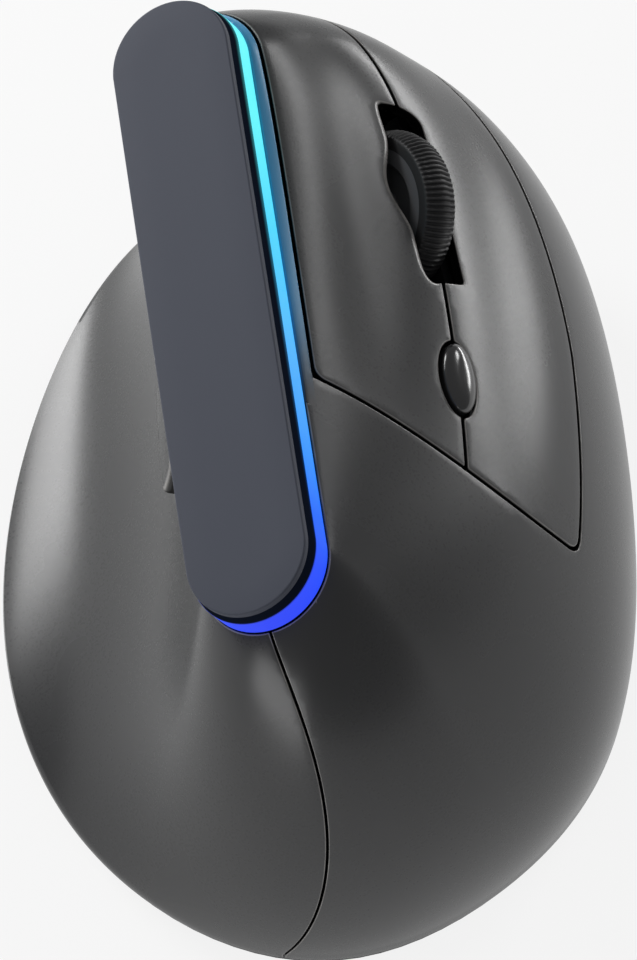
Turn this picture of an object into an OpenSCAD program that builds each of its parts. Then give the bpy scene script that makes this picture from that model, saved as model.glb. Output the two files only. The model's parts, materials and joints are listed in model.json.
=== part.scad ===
// Vertical ergonomic mouse for the right hand, millimetres.
// Y points to the fingertips, X to the finger side, Z up; the glide feet stand on z = 0.

/* [Body outline] */
// Width of the body over the thumb rest and the palm side
body_w = 86; // [80:1:92]
// Length of the body from heel to fingertips
body_l = 120; // [112:1:128]
// How far the sides lag behind the ends of the egg outline
side_setback = 5; // [3:0.5:7]
// Height of the crest centre above the desk
crest_z = 62; // [58:1:66]
// Wall of the two shells
wall = 2; // [1.6:0.1:2.4]
// Black line between the palm shell and the thumb shell
seam = 0.3; // [0.2:0.05:0.4]

/* [Crest] */
// Half length of the straight part of the crest
crest_half = 36.5; // [34:0.1:38]
// Radius of the crest ends
crest_r = 9; // [8:0.1:10]
// How far the top panel is set in from the light band
panel_in = 0.4; // [0.2:0.1:0.6]
// Thickness of the top panel
panel_t = 1; // [0.8:0.1:1.4]
// Chamfer along the panel edge
panel_cham = 0.5; // [0.3:0.1:0.7]
// Height of the dark band below the panel
bezel_h = 1.8; // [1.4:0.1:2.2]
// Height of the light band
light_h = 2.9; // [2.4:0.1:3.2]
// Gap between the light band and the shells
crest_gap = 0.1; // [0.1:0.05:0.3]

/* [Keys] */
// Thickness of a key skin
key_t = 1.8; // [1.5:0.1:2.2]
// Gap round the keys
key_gap = 0.5; // [0.4:0.05:0.6]
// Gap at the front end of the keys
key_front_gap = 1.2; // [1:0.1:1.6]
// Draft of the key edges: how far the inner face is set in
key_draft = 0.5; // [0.3:0.1:0.7]
// Depth of the two finger channels
channel = 0.7; // [0.3:0.1:1]
// Radius of the key hinge pins
pin_r = 1; // [0.8:0.1:1.2]

/* [Wheel] */
// Outer radius of the scroll wheel
wheel_r = 11.2; // [10.5:0.1:12]
// Width of the scroll wheel
wheel_w = 5; // [4:0.1:5.4]
// Height of the wheel above the finger surface
wheel_out = 4; // [3:0.1:4.6]
// Ribs round the tyre
tyre_ribs = 88; // [60:2:100]
// Depth of a rib
rib_depth = 0.5; // [0.3:0.1:0.7]
// Radius of the wheel axle
axle_r = 1.2; // [1:0.1:1.5]

/* [Buttons] */
// Length of the oval button behind the wheel
dpi_l = 10; // [9:0.2:11]
// Width of the oval button
dpi_w = 5.2; // [4.6:0.2:6]
// Height of its domed top
dpi_dome = 1.5; // [1:0.1:1.8]
// How far the thumb buttons stand out of the flank
thumb_out = 2; // [1:0.1:2.6]
// Gap round the thumb buttons
thumb_gap = 0.3; // [0.25:0.05:0.4]

/* [Underside] */
// Thickness of the base plate
plate_t = 1.8; // [1.6:0.1:2.4]
// Height of the base plate above the desk
plate_z = 0.6; // [0.4:0.1:0.8]
// Radius of a case screw shank
screw_r = 1; // [0.8:0.05:1.2]
// Thickness of the circuit boards
board_t = 1.2; // [1:0.1:1.6]

/* [Hidden] */
run = 0.05;
lip_z = plate_z + plate_t;
skirt_z = lip_z + 1;
crest_drop = panel_t + bezel_h + light_h + crest_gap;
crest_pos = [-14.45, 6.85, crest_z];
crest_turn = [1.5, -27, 7.4];
crest_clip = 0.1;
crest_warp = 0.028;
egg_even = 1.6;
egg_front = 3;
egg_right = 1.6;
egg_twist = 1;
fan = 22;
// Profile of the body every 30 degrees from the front, clockwise:
// out and down from the crest, out and up from the base
flare = [[2, 14, 1, 20], [21, 3, 6, 30], [23, 4, 4, 28], [22, 7, 3, 26], [20, 7, 3, 26], [16, 6, 3, 24],
  [10, 5, 2, 22], [3, 8, -2, 16], [-4, 18, -10, 8], [-8, 20, -16, 4], [-8, 20, -14, 4], [-4, 18, -6, 10]];

// Chart of the seams: degrees clockwise from the front, height share from base 0 to crest 1
front_seam = -8;
key_front = 20;
key_rear = 108;
trim_front = 14;
trim_rear = 114;
rear_seam = 182;
key_low = 0.38;
key_rise = 0.16;
key_high = 0.977;
left_v = 0.88;
right_v = 0.48;
hinge_u = 100;
reach_u = 52;
wheel_u = 62.9;
dpi_u = 93;
back_u = [256, 280];
fore_u = [283, 307];
thumb_v = [0.64, 0.82];
thumb_taper = 0.045;

function unit(v) = v / norm(v);
function lerp(a, b, t) = a + (b - a) * t;
function steps(a, b, n) = [for (k = [0:n]) lerp(a, b, k / n)];
function egg_skew(u) = egg_even + egg_front * cos(u) + egg_right * sin(u) + egg_twist * sin(2 * u);
function egg(u) = let (k = egg_skew(u) * sin(2 * u))
  [body_w / 2 * sin(u + k), body_l / 2 * cos(u - k) - side_setback * pow(sin(u), 2), skirt_z];
function weights(t) = let (t2 = t * t, t3 = t2 * t)
  [pow(1 - t, 3), 3 * t3 - 6 * t2 + 4, 3 * t2 + 3 * t - 3 * t3 + 1, t3] / 6;
function flare_at(u) = let (n = len(flare), s = u / 360 * n, i = floor(s), w = weights(s - i))
  w[0] * flare[(i + 2 * n - 1) % n] + w[1] * flare[(i + 2 * n) % n]
  + w[2] * flare[(i + 2 * n + 1) % n] + w[3] * flare[(i + 2 * n + 2) % n];

// Point on a stadium outline, share f of the way round from the front tip, clockwise
function arc_pt(a, r, y) = [r * sin(a), y + r * cos(a)];
function track(f, r, h) = let (q = PI * r / 2, s = (f - floor(f)) * (4 * q + 4 * h), d = 180 / PI / r)
  s < q ? arc_pt(s * d, r, h)
  : s < q + 2 * h ? [r, h - s + q]
  : s < 3 * q + 2 * h ? arc_pt(90 + (s - q - 2 * h) * d, r, -h)
  : s < 3 * q + 4 * h ? [-r, s - 3 * q - 3 * h]
  : arc_pt(270 + (s - 3 * q - 4 * h) * d, r, h);
function yawed(p) = let (c = crest_turn.z) [p.x * cos(c) - p.y * sin(c), p.x * sin(c) + p.y * cos(c), p.z];
function rolled(p) = let (b = crest_turn.y) [p.x * cos(b) + p.z * sin(b), p.y, p.z * cos(b) - p.x * sin(b)];
function pitched(p) = let (a = crest_turn.x) [p.x, p.y * cos(a) - p.z * sin(a), p.y * sin(a) + p.z * cos(a)];
function turned(p) = yawed(rolled(pitched(p)));
crest_n = turned([0, 0, 1]);
function crest_at(u) = let (t = track(u / 360 - crest_warp * sin(2 * u), crest_r + crest_clip, crest_half))
  crest_pos + turned([t.x, t.y, -crest_drop]);

// Body surface: a cubic arc from the crest edge to the base outline in every direction
function arc3(c, p, q, b, w) = let (k = 1 - w)
  pow(k, 3) * c + 3 * w * k * k * p + 3 * w * w * k * q + pow(w, 3) * b;
function facing(u) = let (a = u + fan * sin(2 * u)) [sin(a), cos(a), 0];
function body(u, v) = let (b = egg(u), c = crest_at(u), f = flare_at(u), o = facing(u))
  arc3(c, c + f[0] * o - [0, 0, f[1]], b + f[2] * o + [0, 0, f[3]], b, 1 - v);
function along_u(u, v) = body(u + 0.1, v) - body(u - 0.1, v);
function along_v(u, v) = body(u, v + 0.002) - body(u, v - 0.002);
function out_n(u, v) = unit(cross(along_v(u, v), along_u(u, v)));
function per_u(mm, u, v) = mm * 0.2 / norm(along_u(u, v));
function per_v(mm, u, v) = mm * 0.004 / norm(along_v(u, v));

// Finger channels sink the two keys a little, fading out towards the key ends
function bell(x) = exp(-x * x);
function fade(u) = u < 24 || u > 106 ? 0 : pow(sin((u - 24) / 82 * 180), 0.7);
function sink(u, v) = channel * fade(u) * (bell((v - 0.84) / 0.07) + bell((v - 0.55) / 0.08));
function face(u, v, out = 0) = body(u, v) + (out - sink(u, v)) * out_n(u, v);

// Inner face of a shell, kept above the lip and below the crest plane
function capped(p) = let (d = crest_drop + (p - crest_pos) * crest_n) d > 0 ? p - d * crest_n : p;
function raised(p) = [p.x, p.y, max(p.z, lip_z + 0.3)];
function skin(u, v) = v < 0 ? [egg(u).x, egg(u).y, lip_z] : face(u, v);
function lining(u, v, t) = v < 0 ? let (p = egg(u) - t * out_n(u, 0)) [p.x, p.y, lip_z]
  : raised(capped(face(u, v, -t)));

// Seam lines
function mid_v(u) = 0.725 - 0.065 * (u - 30) / 80;
function key_end(v) = key_rear - 36 * pow(v - 0.72, 2);
function rear_line(v) = 186.3 - 4.3 * v - 38 * v * (1 - v);
function front_line(v) = key_front - 60 * max(0, v - 0.75);
function fore_share(u) = max(0, (76 - u) / 56);
function low_v(u) = key_low + key_rise * pow(fore_share(u), 1.3);
function low_gap(u) = lerp(key_gap, key_front_gap, pow(fore_share(u), 3));
function palm_u(p, v) = p <= key_front
  ? lerp(front_seam, front_line(v), (p - front_seam) / (key_front - front_seam))
  : p <= 60 ? lerp(front_line(v), 60, (p - key_front) / (60 - key_front))
  : p <= key_rear ? lerp(60, key_end(v), (p - 60) / (key_rear - 60))
  : p <= trim_rear ? key_end(v) + p - key_rear
  : lerp(key_end(v) + trim_rear - key_rear, rear_line(v) - per_u(seam / 2, 180, v),
    (p - trim_rear) / (rear_seam - trim_rear));
function thumb_low(p) = thumb_v[0] + thumb_taper * min(1.4, pow((p - back_u[1]) / 26, 2));
function thumb_high(p) = thumb_v[1] - thumb_taper * min(1.4, pow((p - back_u[1]) / 26, 2));
function thumb_row(p, r) = r < 0 ? r
  : r < thumb_v[0] ? r * thumb_low(p) / thumb_v[0]
  : r < thumb_v[1] ? lerp(thumb_low(p), thumb_high(p), (r - thumb_v[0]) / (thumb_v[1] - thumb_v[0]))
  : 1 - (1 - r) * (1 - thumb_high(p)) / (1 - thumb_v[1]);
function thumb_u(p, v) = p <= back_u[0]
  ? lerp(rear_line(v) + per_u(seam / 2, 180, v), back_u[0], (p - rear_seam) / (back_u[0] - rear_seam))
  : p < 345 ? p : lerp(345, 360 + front_seam - per_u(seam, 352, v), (p - 345) / 7);

// Working frames [origin, across, forward, outward]
function seat(u0, v0, u1, v1) = let (o = body(u0, v0), d = body(u1, v1) - o,
  n = out_n((u0 + u1) / 2, (v0 + v1) / 2), s = unit(d - n * (d * n))) [o, cross(s, n), s, n];
left_f = seat(hinge_u, left_v, reach_u, left_v);
right_f = seat(hinge_u, right_v, reach_u, right_v);
wheel_f = seat(wheel_u, mid_v(wheel_u), wheel_u - 10, mid_v(wheel_u - 10));
dpi_f = seat(dpi_u, mid_v(dpi_u), dpi_u - 10, mid_v(dpi_u - 10));
function local(f, p) = [(p - f[0]) * f[1], (p - f[0]) * f[2], (p - f[0]) * f[3]];
function world(f, p) = f[0] + p.x * f[1] + p.y * f[2] + p.z * f[3];
function unyawed(p) = let (c = crest_turn.z, q = p - crest_pos)
  [q.x * cos(c) + q.y * sin(c), q.y * cos(c) - q.x * sin(c), q.z];

// Stack heights below the finger surface
hinge_n = -6;
barrel_r = 2.4;
barrel_a = 3.5;
pin_a = 6.2;
lug_t = 2;
lug_s = 2.6;
arm_t = 1.4;
arm_n = -5.4;
nub_n = -6.6;
plunger_r = 0.9;
plunger_h = 0.9;
sunk = 0.6;
switch_h = 4;
switch_n = nub_n - plunger_h - switch_h;
pad_h = 1;
deck_t = 2;
deck_n = switch_n - board_t - pad_h - deck_t;
deck_a = 5;
switch_s = 40;
post_us = [62, 88];
hub_r = wheel_r - 2.6;
dish_r = hub_r - 2.2;
dish_t = 1.2;
boss_r = 3;
axle_n = wheel_out - wheel_r;
cheek_a = wheel_w / 2 + 0.6;
cheek_t = 1.4;
well_a = cheek_a + cheek_t + 0.6;
cradle_s = -wheel_r - 3;
cradle_n = axle_n - 6.8;
bar_s = wheel_r + 1.4;
bar_n = axle_n - 8.8;
bridge_t = 2;
bridge_a = [-10, 15];
bridge_s = [-33, bar_s + 5];
bridge_n = bar_n - plunger_h - switch_h - board_t - pad_h - bridge_t;
leg_spots = [[12, 13], [12, -28], [-8, -31]];
leg_r = 3;
spine_feet = [-30, 32];
web_x = [2.6, 5.6];
board_z = lip_z + 3.6;
port_x = 4;
port_w = 8.94;
port_h = 3.26;
port_z = board_z + board_t + port_h / 2;
port_y = body_l / 2 - 1;
sensor_pos = [2, 18];
knob_pos = [13, -11];
knob_run = 2.5;
board_end = port_y - 3;
stand_spots = [[1, -14], [25, -14], [24, 22], [12, board_end - 4]];
tap_r = 0.8;
tap_l = 3.4;
head_h = 0.9;
bore_l = 9;
glides = [[0, 50, 90, 26], [-22, -36, 42, 20], [24, -34, -42, 20], [-34, 4, 4, 16]];
leds = [-30, -15, 0, 15, 30];
battery_y = 16 - body_l / 2;

module at_frame(f) {
  multmatrix([for (k = [0:2]) [f[1][k], f[2][k], f[3][k], f[0][k]]]) children();
}

module at_crest(depth) {
  translate(crest_pos) rotate(crest_turn) translate([0, 0, -depth]) children();
}

module at_spine() {
  translate([crest_pos.x, crest_pos.y, 0]) rotate([0, 0, crest_turn.z]) children();
}

module block(x, y, z) {
  translate([x[0], y[0], z[0]]) cube([x[1] - x[0], y[1] - y[0], z[1] - z[0]]);
}

module rod(r, a, b) {
  translate([0, 0, a]) cylinder(r = r, h = b - a, $fn = 32);
}

module pill(l, w, h) {
  linear_extrude(h) polygon([for (k = [0:23]) track(k / 24, w / 2, (l - w) / 2)]);
}

module stadium(r, h) {
  cylinder_pair(r, h);
  translate([-r, -crest_half, 0]) cube([2 * r, 2 * crest_half, h]);
}

module cylinder_pair(r, h) {
  for (y = [-crest_half, crest_half])
    translate([0, y, 0]) cylinder(r = r, h = h, $fn = 48);
}

// Closed shell over a grid of outer and inner points; cells marked false are left open
function marked(m, i, j) = i >= 0 && j >= 0 && i < len(m) && j < len(m[0]) && m[i][j];
function quad(a, b, c, d) = [[a, b, c], [a, c, d]];
function cell_faces(m, i, j, n, k) = let (a = i * n + j, b = a + n, c = b + 1, d = a + 1) concat(
  quad(a, b, c, d), quad(d + k, c + k, b + k, a + k),
  marked(m, i, j - 1) ? [] : quad(b, a, a + k, b + k),
  marked(m, i + 1, j) ? [] : quad(c, b, b + k, c + k),
  marked(m, i, j + 1) ? [] : quad(d, c, c + k, d + k),
  marked(m, i - 1, j) ? [] : quad(a, d, d + k, a + k));

module shell(outer, inner, m) {
  n = len(outer[0]);
  k = len(outer) * n;
  polyhedron(
    points = concat([for (r = outer) each r], [for (r = inner) each r]),
    faces = [for (i = [0:len(m) - 1], j = [0:len(m[0]) - 1]) if (m[i][j]) each cell_faces(m, i, j, n, k)],
    convexity = 8);
}

// Patch of the surface between two edges in each direction
module patch(us, lows, highs, nv, out, t) {
  grid = [for (i = [0:len(us) - 1]) [for (j = [0:nv]) let (v = lerp(lows[i], highs[i], j / nv)) [us[i], v]]];
  shell([for (r = grid) [for (q = r) face(q[0], q[1], out)]],
    [for (r = grid) [for (q = r) face(q[0], q[1], out - t)]],
    [for (i = [1:len(us) - 1]) [for (j = [1:nv]) true]]);
}

palm_p = concat(steps(front_seam, trim_front, 7), steps(trim_front + 3, key_front, 1), steps(24, 60, 12),
  steps(64, key_rear, 11), [trim_rear], steps(trim_rear + 4, rear_seam, 16));
palm_v = concat([-1], steps(0, key_low, 7), steps(0.44, 0.92, 7), [key_high, 1]);
function palm_row(p, v) = let (low = low_v(palm_u(max(p, key_front), key_low)))
  v < 0 || v >= key_high ? v
  : v <= key_low ? v * low / key_low
  : lerp(low, key_high, (v - key_low) / (key_high - key_low));
function palm_place(p, v) = let (w = palm_row(p, v)) [palm_u(p, max(w, 0)), w];
function under_keys(p, v) = p > key_front && p < key_rear && v > key_low;
function under_trim(p, v) = p > trim_front && p < trim_rear && v > key_high;
function palm_cell(p, v) = !under_keys(p, v) && !under_trim(p, v);

module palm_skin() {
  grid = [for (p = palm_p) [for (v = palm_v) palm_place(p, v)]];
  shell([for (r = grid) [for (q = r) skin(q[0], q[1])]],
    [for (r = grid) [for (q = r) lining(q[0], q[1], wall)]],
    [for (i = [1:len(palm_p) - 1]) [for (j = [1:len(palm_v) - 1])
      palm_cell((palm_p[i] + palm_p[i - 1]) / 2, (palm_v[j] + palm_v[j - 1]) / 2)]]);
}

module port_hole() {
  translate([port_x, port_y + 6, port_z]) rotate([90, 0, 0]) rotate([0, 0, 90]) pill(10, 4.2, 12);
}

module palm_shell() {
  color("DimGray") difference() {
    palm_skin();
    port_hole();
  }
}

thumb_p = concat(steps(rear_seam, back_u[0], 14), steps(back_u[0] + 4, back_u[1], 5), [fore_u[0]],
  steps(fore_u[0] + 4, fore_u[1], 5), steps(fore_u[1] + 6, 345, 6), [352]);
thumb_rows = concat([-1], steps(0, thumb_v[0], 9), [0.72, thumb_v[1], 0.87, 0.94, 1]);
function in_hole(p, v, us) = p > us[0] && p < us[1] && v > thumb_v[0] && v < thumb_v[1];

module thumb_shell() {
  grid = [for (p = thumb_p) [for (r = thumb_rows) let (v = thumb_row(p, r)) [thumb_u(p, max(v, 0)), v]]];
  color("Gray")
    shell([for (row = grid) [for (q = row) skin(q[0], q[1])]],
      [for (row = grid) [for (q = row) lining(q[0], q[1], wall)]],
      [for (i = [1:len(thumb_p) - 1]) [for (j = [1:len(thumb_rows) - 1])
        let (p = (thumb_p[i] + thumb_p[i - 1]) / 2, v = (thumb_rows[j] + thumb_rows[j - 1]) / 2)
        !in_hole(p, v, back_u) && !in_hole(p, v, fore_u)]]);
}

// Wheel slot: round corner at the rear, finger notch on the left, long round corner at the front right
slot_ends = [-13.8, 12.9];
slot_side = wheel_w / 2 + 0.6;
slot_round = 2;
slot_slant = 3.4;
slot_notch = 1.9;
function notch(t) = t < 0.2 || t > 0.8 ? 0 : slot_notch * (1 - cos((t - 0.2) * 600)) / 2;

module slot_cut() {
  heel = slot_ends[0] + slot_round;
  toe = slot_ends[1] - slot_slant;
  at_frame(wheel_f) translate([0, 0, -8]) linear_extrude(20) polygon(concat(
    [for (a = [0:30:60]) [slot_round * (1 - sin(a)) - slot_side, heel - slot_round * cos(a)]],
    [for (t = [0:0.1:1]) [-slot_side - notch(t), lerp(heel, slot_ends[1], t)]],
    [for (a = [15:15:90]) [slot_side * (2 * sin(a) - 1), toe + slot_slant * cos(a)]],
    [[slot_side, slot_ends[0]]]));
}

function oval(l, w, n) = [for (k = [0:n - 1]) [w / 2 * sin(k * 360 / n), l / 2 * cos(k * 360 / n)]];

module dpi_cut() {
  at_frame(dpi_f) translate([0, 0, -8]) linear_extrude(20)
    polygon(oval(dpi_l + 2 * key_gap, dpi_w + 2 * key_gap, 28));
}

key_us = concat([0], steps(4, 40, 12), steps(44, 88, 11)) / 88;
function key_u(t, v) = let (a = front_line(v), b = key_end(v))
  lerp(a + per_u(key_front_gap, a, v), b - per_u(key_gap, 106, v), t);

function drafted(k, last) = k == 0 ? key_draft : k == last ? -key_draft : 0;

module key_skin(low, high, n) {
  m = len(key_us) - 1;
  grid = [for (t = key_us) [for (j = [0:n])
    let (u0 = lerp(key_front, key_rear, t), v = lerp(low(u0), high(u0), j / n)) [key_u(t, v), v]]];
  inner = [for (i = [0:m]) [for (j = [0:n])
    let (u = grid[i][j][0], v = grid[i][j][1])
    face(u + per_u(drafted(i, m), u, v), v + per_v(drafted(j, n), u, v), -key_t)]];
  shell([for (r = grid) [for (q = r) face(q[0], q[1])]], inner, [for (i = [1:m]) [for (j = [1:n]) true]]);
}

module left_key() {
  color("DimGray") difference() {
    key_skin(function(u) mid_v(u) + per_v(key_gap / 2, u, mid_v(u)),
      function(u) key_high - per_v(key_gap, u, key_high), 7);
    slot_cut();
    dpi_cut();
  }
}

module right_key() {
  color("DimGray") difference() {
    key_skin(function(p) let (u = key_u((p - key_front) / (key_rear - key_front), key_low))
        low_v(u) + per_v(low_gap(u), u, low_v(u)),
      function(u) mid_v(u) - per_v(key_gap / 2, u, mid_v(u)), 7);
    slot_cut();
    dpi_cut();
  }
}

// Hinged arm under a key: barrel, beam, two posts into the skin and the nub over the switch
module key_arm(f, v) {
  at_frame(f) difference() {
    union() {
      translate([0, 0, hinge_n]) rotate([0, 90, 0]) rod(barrel_r, -barrel_a, barrel_a);
      block([-barrel_a, barrel_a], [0, switch_s + 3], [arm_n, arm_n + arm_t]);
      translate([0, switch_s, 0]) rod(1.5, nub_n, arm_n + 0.2);
      for (u = post_us) {
        p = local(f, face(u, v, -key_t));
        translate([p.x, p.y, 0]) rod(1.6, arm_n + arm_t - 0.2, p.z + 0.5);
      }
    }
    translate([0, 0, hinge_n]) rotate([0, 90, 0]) rod(pin_r + run, -barrel_a - 1, barrel_a + 1);
  }
}

module left_key_arm() { color("SlateGray") key_arm(left_f, left_v); }

module right_key_arm() { color("SlateGray") key_arm(right_f, right_v); }

module key_pin(f) {
  color("Silver") at_frame(f) translate([0, 0, hinge_n]) rotate([0, 90, 0]) rod(pin_r, -pin_a, pin_a);
}

module left_key_pin() { key_pin(left_f); }

module right_key_pin() { key_pin(right_f); }

// Inner frame: a deck under each key, a bridge under the wheel, lugs for the pins, four legs
module deck(f) {
  at_frame(f) {
    block([-deck_a, deck_a], [-4, switch_s + 8], [deck_n, deck_n + deck_t]);
    for (s = [switch_s - 16, switch_s + 5.5])
      block([-deck_a + 0.5, deck_a - 0.5], [s, s + 2.5], [deck_n + deck_t - 0.2, deck_n + deck_t + pad_h]);
    for (a = [-6, barrel_a + 0.3])
      block([a, a + 6 - barrel_a - 0.3], [-3, 3], [deck_n, hinge_n + 2.4]);
  }
}

module deck_bores(f) {
  at_frame(f) {
    translate([0, 0, hinge_n]) rotate([0, 90, 0]) rod(pin_r + 0.01, -8, 8);
    translate([0, switch_s - 14.7, 0]) rod(tap_r + 0.02, switch_n - board_t - tap_l, switch_n);
  }
}

function leg_top(s) = world(wheel_f, [s.x, s.y, bridge_n + bridge_t / 2]);
function leg_xy(s) = [leg_top(s).x, leg_top(s).y];

module leg(spot) {
  p = leg_top(spot);
  difference() {
    translate([p.x, p.y, 0]) rod(leg_r, lip_z, p.z + 6);
    at_frame(wheel_f) block([-40, 40], [-60, 60], [bridge_n + bridge_t / 2, 20]);
  }
}

module wheel_lug(a) {
  at_frame(wheel_f)
    block([a, a + lug_t], [cradle_s - lug_s, cradle_s + lug_s], [bridge_n, cradle_n + lug_s - 0.2]);
}

module key_frame() {
  color("LightSlateGray") difference() {
    union() {
      deck(left_f);
      deck(right_f);
      at_frame(wheel_f) {
        block(bridge_a, bridge_s, [bridge_n, bridge_n + bridge_t]);
        block([bridge_a[0], bridge_a[0] + bridge_t], bridge_s, [bridge_n, deck_n + 1]);
        block([bridge_a[1] - bridge_t, bridge_a[1]], bridge_s, [bridge_n, deck_n - bridge_t]);
        block([-4, 4], [bar_s - 8, bar_s + 4], [bridge_n + bridge_t - 0.2, bridge_n + bridge_t + pad_h]);
      }
      for (a = [-cheek_a - cheek_t - 0.4 - lug_t, cheek_a + cheek_t + 0.4])
        wheel_lug(a);
      at_frame(dpi_f) block([-3.2, 3.2], [-3.2, 3.2], [bridge_n + 1, -11]);
      for (s = leg_spots)
        leg(s);
    }
    deck_bores(left_f);
    deck_bores(right_f);
    at_frame(wheel_f) {
      translate([0, cradle_s, cradle_n]) rotate([0, 90, 0]) rod(pin_r + 0.01, -9, 9);
      translate([0, bar_s - 6, 0]) rod(tap_r + 0.02, bridge_n - 1, bridge_n + 6);
    }
    for (s = leg_spots)
      translate(leg_xy(s)) rod(screw_r + 0.02, lip_z - 1, lip_z + bore_l);
    at_frame(wheel_f) block([-well_a, well_a], [cradle_s + 3, bar_s + 1.6], [bar_n - 1, 4]);
  }
}

module switch_board(f) {
  color("DarkGreen") at_frame(f) difference() {
    block([-deck_a + 0.5, deck_a - 0.5], [switch_s - 17, switch_s + 8], [switch_n - board_t, switch_n]);
    translate([0, switch_s - 14.7, 0]) rod(tap_r + 0.1, switch_n - 3, switch_n + 1);
  }
}

module left_board() { switch_board(left_f); }

module right_board() { switch_board(right_f); }

module micro_switch(f) {
  color("Black") at_frame(f) difference() {
    block([-2.9, 2.9], [switch_s - 6.4, switch_s + 6.4], [switch_n, switch_n + switch_h]);
    translate([0, switch_s, switch_n]) rod(plunger_r + run, switch_h - 2 * sunk - 0.2, switch_h + 1);
  }
}

module left_switch() { micro_switch(left_f); }

module right_switch() { micro_switch(right_f); }

module plunger(f) {
  color("Crimson") at_frame(f) translate([0, switch_s, 0])
    rod(plunger_r, switch_n + switch_h - sunk, nub_n - run);
}

module left_plunger() { plunger(left_f); }

module right_plunger() { plunger(right_f); }

module on_axle() {
  at_frame(wheel_f) translate([0, 0, axle_n]) rotate([0, 90, 0]) children();
}

module wheel_hub() {
  color("DimGray") on_axle() difference() {
    rod(hub_r, -wheel_w / 2, wheel_w / 2);
    rod(axle_r + 0.01, -wheel_w, wheel_w);
    for (z = [-wheel_w, wheel_w / 2 - dish_t]) difference() {
      rod(dish_r, z, z + wheel_w / 2 + dish_t);
      rod(boss_r, z - 1, z + wheel_w);
    }
  }
}

function rib_ring(n) = [for (k = [0:4 * n - 1])
  let (r = k % 4 < 2 ? wheel_r : wheel_r - rib_depth, a = (k - 0.5) * 90 / n) [r * cos(a), r * sin(a)]];

module wheel_tyre() {
  color("Black") on_axle() difference() {
    translate([0, 0, -wheel_w / 2]) linear_extrude(wheel_w) polygon(rib_ring(tyre_ribs));
    rod(hub_r + 0.01, -wheel_w, wheel_w);
  }
}

module wheel_axle() {
  color("Silver") on_axle() rod(axle_r, -cheek_a - cheek_t - 0.3, cheek_a + cheek_t + 4);
}

module wheel_cradle() {
  edge = cheek_a + cheek_t;
  color("SlateGray") at_frame(wheel_f) difference() {
    union() {
      for (a = [-edge, cheek_a])
        block([a, a + cheek_t], [cradle_s - 2.2, bar_s + 1], [bar_n, axle_n + 2.8]);
      block([-edge, edge], [cradle_s - 2.2, cradle_s + 2.2], [cradle_n - 2.2, cradle_n + 2.2]);
      block([-edge, edge], [bar_s - 0.8, bar_s + 1], [bar_n, bar_n + 2.6]);
    }
    translate([0, 0, axle_n]) rotate([0, 90, 0]) rod(axle_r + run, -9, 9);
    translate([0, cradle_s, cradle_n]) rotate([0, 90, 0]) rod(pin_r + run, -9, 9);
  }
}

module cradle_pin() {
  edge = cheek_a + cheek_t + 0.4 + lug_t;
  color("Silver") at_frame(wheel_f) translate([0, cradle_s, cradle_n]) rotate([0, 90, 0])
    rod(pin_r, -edge, edge);
}

module wheel_encoder() {
  edge = cheek_a + cheek_t;
  color("ForestGreen") at_frame(wheel_f) difference() {
    block([edge, edge + 3.8], [-5.5, 5.5], [axle_n - 5.6, axle_n + 2.6]);
    translate([0, 0, axle_n]) rotate([0, 90, 0]) rod(axle_r + run, 0, 12);
  }
}

module wheel_board() {
  top = bar_n - plunger_h - switch_h;
  color("DarkGreen") at_frame(wheel_f) difference() {
    block([-4.5, 4.5], [bar_s - 8.5, bar_s + 4.5], [top - board_t, top]);
    translate([0, bar_s - 6, top]) rod(tap_r + 0.1, -3, 1);
  }
}

module middle_switch() {
  top = bar_n - plunger_h;
  color("Black") at_frame(wheel_f) difference() {
    block([-2.9, 2.9], [bar_s - 3.4, bar_s + 3.4], [top - switch_h, top]);
    translate([0, bar_s + 0.1, top]) rod(plunger_r + run, -2 * sunk - 0.2, 1);
  }
}

module middle_plunger() {
  color("Crimson") at_frame(wheel_f) translate([0, bar_s + 0.1, 0])
    rod(plunger_r, bar_n - plunger_h - sunk, bar_n - run);
}

// Solid through a stack of ovals given as [length, width, height]
module oval_stack(levels, n) {
  m = len(levels);
  polyhedron(
    points = [for (q = levels) each [for (p = oval(q[0], q[1], n)) [p.x, p.y, q[2]]]],
    faces = concat(
      [for (k = [1:n - 2]) [0, k + 1, k]],
      [for (k = [1:n - 2]) [(m - 1) * n, (m - 1) * n + k, (m - 1) * n + k + 1]],
      [for (i = [0:m - 2], k = [0:n - 1]) let (a = i * n, b = (k + 1) % n)
        each quad(a + k, a + b, a + n + b, a + n + k)]));
}

module dpi_button() {
  color("Black") at_frame(dpi_f) {
    oval_stack(concat(
      [for (z = [-4, -3.1]) [dpi_l + 2, dpi_w + 1.8, z]],
      [[dpi_l, dpi_w, -3.1]],
      [for (a = [0:18:72]) [dpi_l * cos(a), dpi_w * cos(a), dpi_dome * sin(a)]]), 28);
    rod(1.3, -6.6, -3.8);
  }
}

module dpi_plunger() {
  color("Crimson") at_frame(dpi_f) rod(plunger_r, -8, -6.6);
}

module dpi_switch() {
  color("DarkSlateGray") at_frame(dpi_f) difference() {
    block([-3, 3], [-3, 3], [-11, -7.4]);
    rod(plunger_r + run, -9, -7);
  }
}

module thumb_patch(us) {
  mid = (thumb_v[0] + thumb_v[1]) / 2;
  cols = steps(us[0] + per_u(thumb_gap, us[0], mid), us[1] - per_u(thumb_gap, us[1], mid), 6);
  patch(cols, [for (u = cols) thumb_low(u) + per_v(thumb_gap, u, thumb_v[0])],
    [for (u = cols) thumb_high(u) - per_v(thumb_gap, u, thumb_v[1])], 3, thumb_out, thumb_out + 1.2);
}

module back_button() { color("DimGray") thumb_patch(back_u); }

module forward_button() { color("DimGray") thumb_patch(fore_u); }

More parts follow.
